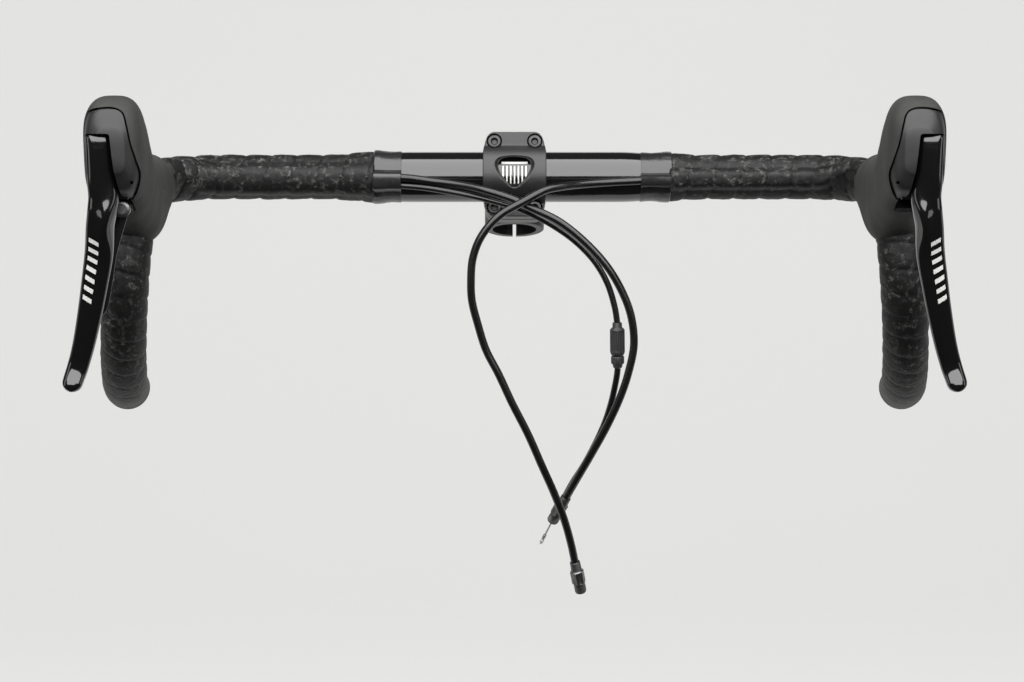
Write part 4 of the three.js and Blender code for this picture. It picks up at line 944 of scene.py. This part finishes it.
for _side in (1, -1):
    hood_parts(_side)

# ------------------------------------------------------------------ blades and paddle
BLADE = [[237.4, -165.2, 31.0, 6.3, 2.0], [237.4, -166.2, 29.6, 6.9, 3.4], [237.2, -165.6, 24, 7.2, 4.6], [236.8, -164.6, 14, 7.6, 5.0], [236.2, -163.4, 4, 8.2, 5.2], [235.3, -162.3, -4, 8.7, 5.3],
         [236.4, -161.0, -12, 8.5, 5.3], [238.1, -158.0, -21, 8.2, 5.1], [240.0, -151.8, -37, 8.3, 4.9], [243.5, -147, -55, 7.8, 4.7], [247.4, -142, -73, 7.2, 4.5], [252.8, -135.4, -94, 6.5, 4.3],
         [256.6, -132.6, -106, 6.2, 4.2], [259.4, -135.4, -115, 5.9, 3.9], [260.2, -138, -119.6, 3.8, 2.6]]
PADDLE = [[227.4, -141, -11, 4.2, 1.4], [231.4, -141.3, -24, 4.2, 1.3], [236.6, -140.8, -38, 5.4, 1.3], [240.3, -138, -54, 6.0, 1.3], [243.1, -134.4, -68, 5.6, 1.3], [244.8, -132, -76, 3.4, 1.1]]


def strip(name, rows5, side, material, e=2.6, n=96, m=56, crown=0.0, dish=0.0, round_end=True, knee=False):
    """a blade swept down its own line, with coordinates along (u) and across (v)"""
    cen = [Vector(r[:3]) for r in rows5]
    rad = [Vector((r[3], r[4], 0)) for r in rows5]
    rows, uvs = [], []
    run = [0.0]
    for i in range(n):
        run.append(run[-1] + (catmull(cen, (i + 1) / n) - catmull(cen, i / n)).length)
    for i in range(n + 1):
        f = i / n
        w_ = f
        if round_end and f > 0.93:
            pass
        c = catmull(cen, f)
        r = catmull(rad, f)
        t = (catmull(cen, min(1, f + 0.004)) - catmull(cen, max(0, f - 0.004))).normalized()
        across = Vector((1, 0, 0))
        across = (across - t * across.dot(t)).normalized()
        deep = t.cross(across)                        # forward or back
        if deep.y > 0:
            deep = -deep
        k = 1.0
        if i < 5:
            k = math.sqrt(max(0.05, 1 - ((5 - i) / 5.0) ** 2))
        if i > n - 7:
            k = math.sqrt(max(0.03, 1 - ((i - (n - 7)) / 7.0) ** 2))
        row = []
        for j in range(m):
            a = PI2 * j / m
            x, z = superxy(a, e)
            d = z * r.y
            if z > 0:                                 # front face: gently crowned, small dish along the middle
                d = d * (1 - crown * x * x) - dish * (1 - x * x) ** 2 * sstep(f, 0.1, 0.25) * (1 - sstep(f, 0.8, 0.95)) * z
            q = c + across * (x * r.x * k) + deep * (d * k)
            if knee and z > 0:                        # the knee where the plate turns into the arm
                q += deep * (4.1 * math.exp(-((q.z + 17.5) / (10.8 if q.z > -17.5 else 15.0)) ** 2 - ((x + 0.36) / 0.52) ** 2)) * sstep(z, 0.15, 0.9)
            row.append(q)
            uvs.append((run[i] / run[-1], x))
        rows.append(row)
    rows = mirrored(rows, side)
    return rows_obj(name, rows, material, uvs=uvs, sharp=70)


def merged(name, objs):
    me = bpy.data.meshes.new(name)
    bm = bmesh.new()
    mats = []
    for o in objs:
        for mt in o.data.materials:
            if mt not in mats:
                mats.append(mt)
    for o in objs:
        tmp = o.data.copy()
        idx = [mats.index(mt) for mt in o.data.materials]
        for p in tmp.polygons:
            p.material_index = idx[p.material_index]
        bm.from_mesh(tmp)
        bpy.data.meshes.remove(tmp)
    bm.to_mesh(me)
    bm.free()
    for mt in mats:
        me.materials.append(mt)
    for o in objs:
        bpy.data.objects.remove(o, do_unlink=True)
    r = bpy.data.objects.new(name, me)
    bpy.context.scene.collection.objects.link(r)
    return r


HUB = [(-117.4, -1), (-117.4, 5.8), (-123, 7), (-132, 11.4), (-147.5, 22.8), (-150, 28), (-155, 29.5), (-159, 20), (-158, 2), (-154, -6), (-140, -6), (-130, -5.4), (-122, -3.5)]
for _side in (1, -1):
    nm = "left" if _side > 0 else "right"
    body = "brake_lever_%s_body" % nm
    bl = strip("blade_body_" + nm, BLADE, _side, MT["blade"], e=3.0, n=150, m=72, crown=0.20, knee=True)
    x0, x1 = (222.6, 235.6) if _side > 0 else (-235.6, -222.6)
    hub = prism("hub", HUB, 0, x0, x1)
    hub.data.materials.clear()
    hub.data.materials.append(MT["blade"])
    hole = lathe("hole", Vector((x0 - 2, -132, 3)), Vector((1, 0, 0)), [(0, 2.8), (17, 2.8)], MT["blade"], 32)
    boolean(hub, hole)
    bevelled(hub, 0.5)
    parts = [bl, hub]
    if _side < 0:
        lug = box_obj("lug", (-236, -151, -16), (-227.5, -144.4, -6))
        lug.data.materials.clear()
        lug.data.materials.append(MT["blade"])
        bevelled(lug, 1.6, 50, 4)
        boss_ = lathe("boss", Vector((-226.8, -151.6, -12)), Vector((0, 1, 0)), [(0, 1.4), (0, 2.9), (0.4, 3.1), (0.5, 4.2), (1.0, 4.8), (6.6, 4.8), (7.2, 4.3), (7.2, 2.1)], MT["alloy"], 48)
        parts.append(boss_)
        parts.append(lug)
    bl = merged("blade_" + nm, parts)
    finish(bl, body, "blade_gloss", "brake_lever_" + nm)
    pin = lathe("pivot_" + nm, Vector((_side * 217.5, -132, 3)), Vector((_side, 0, 0)), [(0, 2.0), (0.3, 2.4), (22.7, 2.4), (23, 2.0)], MT["steel"], 40)
    bpy.data.objects.remove(pin, do_unlink=True)

pd = strip("paddle_leaf", PADDLE, -1, MT["paddle"], e=3.2, n=60, crown=0.3)
eye = lathe("eye", Vector((-226.8, -143.2, -12)), Vector((0, 1, 0)), [(0, 2.2), (0, 4.8), (0.4, 5.2), (4.2, 5.2), (4.6, 4.8), (4.6, 2.2)], MT["paddle"], 48)
pd = merged("shift_paddle_blade", [pd, eye])
finish(pd, "shift_paddle_body", "blade_gloss", "shift_paddle")
ppin = lathe("paddle_pivot", Vector((-226.8, -149.8, -12)), Vector((0, 1, 0)), [(0, 1.5), (0.3, 1.8), (12, 1.8), (12, 2.8), (12.3, 3.2), (12.6, 3.2), (12.8, 2.9), (12.8, 1.3), (12.2, 1.2), (12.2, 0.2)], MT["steel"], 40, hexes=(7, 8))
finish(ppin, "brake_lever_right_body", "steel", "paddle_pin")

# ------------------------------------------------------------------ stem
U = Vector((0, 0.317305, 0.948324))
FWD = Vector((0, -math.cos(math.radians(12.5)), math.sin(math.radians(12.5))))
NRM = Vector((0, math.sin(math.radians(12.5)), math.cos(math.radians(12.5))))
O_ = -BAR                                             # the steerer axis at the clamp's lower face
MID = O_ + U * 20
BACK = Vector((0, U.z, -U.y))
at = lambda f, n, x=0: MID + FWD * f + NRM * n + Vector((x, 0, 0))
upp = lambda d, x=0, back=0: O_ + U * d + Vector((x, 0, 0)) + BACK * back
fb_ = lambda i, f: Vector((((-1, 1, -1, 1)[i]) * 12.7, 0, 0)) + NRM * ((1, 1, -1, -1)[i] * 21) + FWD * f


def cyl(name, a, b, r, sides=64, chamfer=0.0):
    d = (b - a).length
    prof = [(0, r), (d, r)] if not chamfer else [(0, r - chamfer), (chamfer * 0.3, r - chamfer * 0.3), (chamfer, r), (d - chamfer, r), (d - chamfer * 0.3, r - chamfer * 0.3), (d, r - chamfer)]
    return lathe(name, a, b - a, prof, MT["stem"], sides)


def plate(name, pts, ex, ey, ez, org, h0, h1):
    """outline pts in (ex, ey), from h0 to h1 along ez"""
    n = len(pts)
    lo = [org + ex * p[0] + ey * p[1] + ez * h0 for p in pts]
    hi = [org + ex * p[0] + ey * p[1] + ez * h1 for p in pts]
    faces = [tuple(range(n)), tuple(range(2 * n - 1, n - 1, -1))] + [(i, (i + 1) % n, n + (i + 1) % n, n + i) for i in range(n)]
    o = obj_from(name, [W(v) for v in lo + hi], faces, MT["stem"], None, False, None)
    fix_normals(o)
    return o


def softened(o, voxel=0.5, smooth=7, factor=0.5):
    """edges rounded by rebuilding the surface on a fine grid, worked in millimetres"""
    o.data.transform(Matrix.Scale(1000, 4))
    m = o.modifiers.new("r", "REMESH")
    m.mode, m.voxel_size, m.use_smooth_shade = "VOXEL", voxel, True
    m = o.modifiers.new("m", "SMOOTH")
    m.factor, m.iterations = factor, smooth
    bpy.context.view_layer.update()
    applied(o)
    o.data.transform(Matrix.Scale(0.001, 4))
    return o


X_, ZERO = Vector((1, 0, 0)), Vector((0, 0, 0))
OUT = [(20, -12), (20, 12), (19.4, 17), (18.4, 21), (17.3, 24), (15.4, 26.2), (12.4, 27.3), (-12.4, 27.3), (-15.4, 26.2), (-17.3, 24), (-18.4, 21), (-19.4, 17), (-20, 12),
       (-20, -12), (-19.4, -17), (-18.4, -21), (-17.3, -24), (-15.4, -26.2), (-12.4, -27.3), (12.4, -27.3), (15.4, -26.2), (17.3, -24), (18.4, -21), (19.4, -17)]
WIN = [(0, -9.6), (3.2, -8), (8.6, -0.6), (10.6, 4.4), (9.6, 8), (6.4, 9.6), (0, 10), (-6.4, 9.6), (-9.6, 8), (-10.6, 4.4), (-8.6, -0.6), (-3.2, -8)]


def round_poly(pts, sub=8):
    """a smooth closed outline through the points' middle region"""
    v = [Vector((p[0], p[1], 0)) for p in pts]
    n, out = len(v), []
    for i in range(n):
        a, b, c = (v[i - 1] + v[i]) / 2, v[i], (v[i] + v[(i + 1) % n]) / 2
        for k in range(sub):
            t = k / sub
            q = a * (1 - t) ** 2 + b * 2 * t * (1 - t) + c * t * t
            out.append((q.x, q.y))
    return out


def arc_profile(f0, r, sgn, n=48):
    return [(sgn * max(f0, r * math.cos(w)), r * math.sin(w)) for w in [math.radians(-90 + 180 * k / n) for k in range(n + 1)]]


def face_or_back(sgn):
    prof = [(sgn * 0.9, -21.2)] + arc_profile(0.9, 21.2, sgn)[1:-1] + [(sgn * 0.9, 21.2)]
    core = plate("core", prof, FWD, NRM, X_, ZERO, -19.9, 19.9)
    e0, e1 = (0.9, 11) if sgn > 0 else (-14, -0.9)
    for s in (1, -1):
        ear = plate("ear", [(e0, s * 12), (e1, s * 12), (e1, s * 27.0), (e0, s * 27.0)], FWD, NRM, X_, ZERO, -18.7, 18.7)
        boolean(core, ear, "UNION")
    blk = plate("blk", OUT, X_, NRM, FWD, ZERO, -42, 42)
    boolean(core, blk, "INTERSECT")
    return core


def flared(_, pts):
    """a cutter that widens outwards, for the window's sloping rim"""
    rows = []
    for h, k in ((16.4, 1.0), (18.2, 1.05), (22.4, 1.34), (26, 1.5)):
        rows.append([X_ * (x * k) + NRM * ((y + 0.0) * k) + FWD * h for x, y in pts])
    return rows_obj("flare", rows, MT["stem"])


plate_o = face_or_back(1)
plate_o.name = "clamp_plate"
boolean(plate_o, plate("win", round_poly(WIN), X_, NRM, FWD, ZERO, 4, 40))
boolean(plate_o, flared([(0, 10), (17.2, 10), (21.6, 30)], round_poly(WIN)))
softened(plate_o, 0.4, 6)
boolean(plate_o, plate("flat", [(-40, -40), (40, -40), (40, 40), (-40, 40)], X_, NRM, FWD, ZERO, -10, 0.95))
boolean(plate_o, cyl("bore", Vector((-60, 0, 0)), Vector((60, 0, 0)), 16.1, 96))
for i in range(4):
    boolean(plate_o, cyl("h", fb_(i, -2), fb_(i, 30), 2.9, 24))
    boolean(plate_o, lathe("cb", fb_(i, 6.0), FWD, [(0, 4.65), (4.4, 4.65), (5.0, 4.95), (5.4, 5.0), (30, 5.0)], MT["stem"], 48))
fix_normals(plate_o)
plate_o.data.set_sharp_from_angle(angle=math.radians(42))
finish(plate_o, ROOT, "stem_black", "stem_faceplate")

ext_rows = []
EXT = [(9, -1, 17.5, 16.5, 2.6), (22, -0.4, 17.2, 16.8, 2.6), (45, 0, 16.2, 16.4, 2.6), (64, 0, 17, 17.2, 2.8), (74, 0, 18.6, 19.4, 2.8), (86, 0, 19.2, 20, 2.8)]
for i in range(41):
    q = catmull([Vector((r[0], r[2], r[3])) for r in EXT], i / 40)
    c = at(q.x, -1 + sstep(q.x, 9, 45))
    ext_rows.append([c + X_ * (superxy(PI2 * j / 72, 2.7)[0] * q.y) + NRM * (superxy(PI2 * j / 72, 2.7)[1] * q.z) for j in range(72)])
body_o = rows_obj("stem_main", ext_rows, MT["stem"])
boolean(body_o, face_or_back(-1), "UNION")
boolean(body_o, cyl("sc", O_ + U * 0.0, O_ + U * 40, 19.6, 96, 0.5), "UNION")
boss = plate("boss", [(-12.5, 12.5), (12.5, 12.5), (12.5, 23.5), (-12.5, 23.5)], X_, BACK, U, O_, 3, 37)
boolean(body_o, boss, "UNION")
softened(body_o, 0.55, 8)
boolean(body_o, plate("flat", [(-60, -60), (60, -60), (60, 60), (-60, 60)], X_, NRM, FWD, ZERO, -0.95, 60))
boolean(body_o, cyl("sb", O_ - U * 5, O_ + U * 45, 14.5, 96))
boolean(body_o, plate("slit", [(-1.1, 8), (1.1, 8), (1.1, 40), (-1.1, 40)], X_, BACK, U, O_, -5, 45))
boolean(body_o, cyl("bore", Vector((-60, 0, 0)), Vector((60, 0, 0)), 16.2, 96))
for d_ in (11, 29):
    c = upp(d_, 0, 18.8)
    boolean(body_o, cyl("ph", c + X_ * -14, c + X_ * 14, 2.9, 24))
    boolean(body_o, cyl("pc", c + X_ * 8.6, c + X_ * 14, 4.8, 40))
fix_normals(body_o)
body_o.data.set_sharp_from_angle(angle=math.radians(42))
finish(body_o, ROOT, "stem_black", "stem_body")


def socket_bolt(name, head, tip, r_head, l_head, r_shank, r_hex, node):
    d = (tip - head).normalized()
    L = (tip - head).length
    prof = [(l_head * 0.72, 0.3), (l_head * 0.70, r_hex * 0.86), (0.5, r_hex), (0.0, r_hex + 0.35), (-0.02, r_head - 0.75), (0.14, r_head - 0.3), (0.5, r_head), (l_head - 0.2, r_head), (l_head, r_head - 0.2), (l_head, r_shank)]
    h = l_head
    while h + 0.9 < L - 0.6:
        prof += [(h + 0.2, r_shank - 0.28), (h + 0.65, r_shank)]
        h += 0.8
    prof += [(L - 0.3, r_shank - 0.1), (L, r_shank - 0.6)]
    o = lathe(name, head, d, prof, MT["bolt"], 60, hexes=(0, 1, 2), sharp=32)
    finish(o, ROOT, "bolt_black", node)


for i in range(4):
    socket_bolt("clamp_bolt_%d" % (i + 1), fb_(i, 10.4), fb_(i, -10.9), 4.3, 4.2, 2.5, 2.0, "faceplate_bolt_%d" % (i + 1))
for i, d_ in enumerate((11, 29)):
    socket_bolt("pinch_bolt_%d" % (i + 1), upp(d_, 12.4, 18.8), upp(d_, -11.6, 18.8), 4.3, 3.4, 2.5, 2.0, "steerer_bolt_%d" % (i + 1))

# ------------------------------------------------------------------ the CAD parts that stay in view
KEEP = {"lever_bracket": "nylon", "clamp_band": "bolt", "clamp_bolt": "steel", "pivot_pin": "steel", "master_piston": "alloy", "pushrod": "steel", "piston_spring": "steel",
        "reservoir_bladder": "bladder", "reservoir_cap": "nylon", "hose_nut": "alloy"}
SHOWN = {"cable_spool": "nylon", "spool_axle": "steel", "shift_wire": "steel"}
for s_ in ("left", "right"):
    for k_, v_ in KEEP.items():
        SHOWN["%s_%s" % (k_, s_)] = v_
for o in [x for x in bpy.context.scene.objects if "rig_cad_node" in x and not x.hide_render]:
    key = o["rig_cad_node"] if isinstance(o["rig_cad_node"], str) else o.name
    m_ = SHOWN.get(key)
    if m_ is None:
        print("no material for", o.name, key)
        continue
    o.data.materials.clear()
    o.data.materials.append(MT[m_])
    bv = o.modifiers.new("edge", "BEVEL")
    bv.width, bv.segments, bv.limit_method, bv.angle_limit = 0.00025, 2, "ANGLE", math.radians(38)
    for p in o.data.polygons:
        p.use_smooth = False

# ------------------------------------------------------------------ floor, backdrop and light
low = min(o_.z for o_ in [W((0, 0, -266))])
me = bpy.data.meshes.new("backdrop")
prof = [(-0.12, low - 0.25), (0.3, low - 0.25), (1.1, low - 0.25)] + [(1.1 + 0.6 * math.sin(a * math.pi / 24), low - 0.25 + 0.6 * (1 - math.cos(a * math.pi / 24))) for a in range(1, 13)] + [(1.7, 1.05)]
vs = [(x, y, z) for (y, z) in prof for x in (-4.0, 4.0)]
me.from_pydata(vs, [], [(2 * i, 2 * i + 2, 2 * i + 3, 2 * i + 1) for i in range(len(prof) - 1)])
for p in me.polygons:
    p.use_smooth = True
drop = bpy.data.objects.new("backdrop", me)
bpy.context.scene.collection.objects.link(drop)
k = Nodes("paper")
k.put("Base Color", k.mix(k.noise(3, 3, 0.5), (0.165, 0.165, 0.163), (0.175, 0.175, 0.173))).put("Roughness", k.maths("MULTIPLY_ADD", k.noise(60, 3), 0.1, 0.8))
k.b.inputs["Emission Color"].default_value = (1.0, 1.0, 0.985, 1)
k.b.inputs["Emission Strength"].default_value = 0.545
me.materials.append(k.m)


def area(name, loc, target, sx, sy, power, col=(1, 1, 1)):
    d = bpy.data.lights.new(name, "AREA")
    d.shape, d.size, d.size_y, d.energy, d.color = "RECTANGLE", sx, sy, power, col
    o = bpy.data.objects.new(name, d)
    bpy.context.scene.collection.objects.link(o)
    o.location = loc
    o.rotation_euler = (Vector(target) - Vector(loc)).to_track_quat("-Z", "Y").to_euler()
    return o


area("overhead", (0.0, -1.02, 1.05), (0, -0.16, 0.0), 2.9, 2.5, 112)
area("side_left", (-2.0, -0.9, 0.35), (0, -0.08, -0.02), 0.5, 1.5, 4)
area("side_right", (2.0, -0.9, 0.35), (0, -0.08, -0.02), 0.5, 1.5, 4)
world = bpy.data.worlds.new("world")
world.use_nodes = True
world.node_tree.nodes["Background"].inputs[0].default_value = (0.92, 0.93, 0.94, 1)
world.node_tree.nodes["Background"].inputs[1].default_value = 0.05
bpy.context.scene.world = world
bpy.context.scene.view_settings.view_transform = "Standard"
bpy.context.scene.view_settings.look = "None"
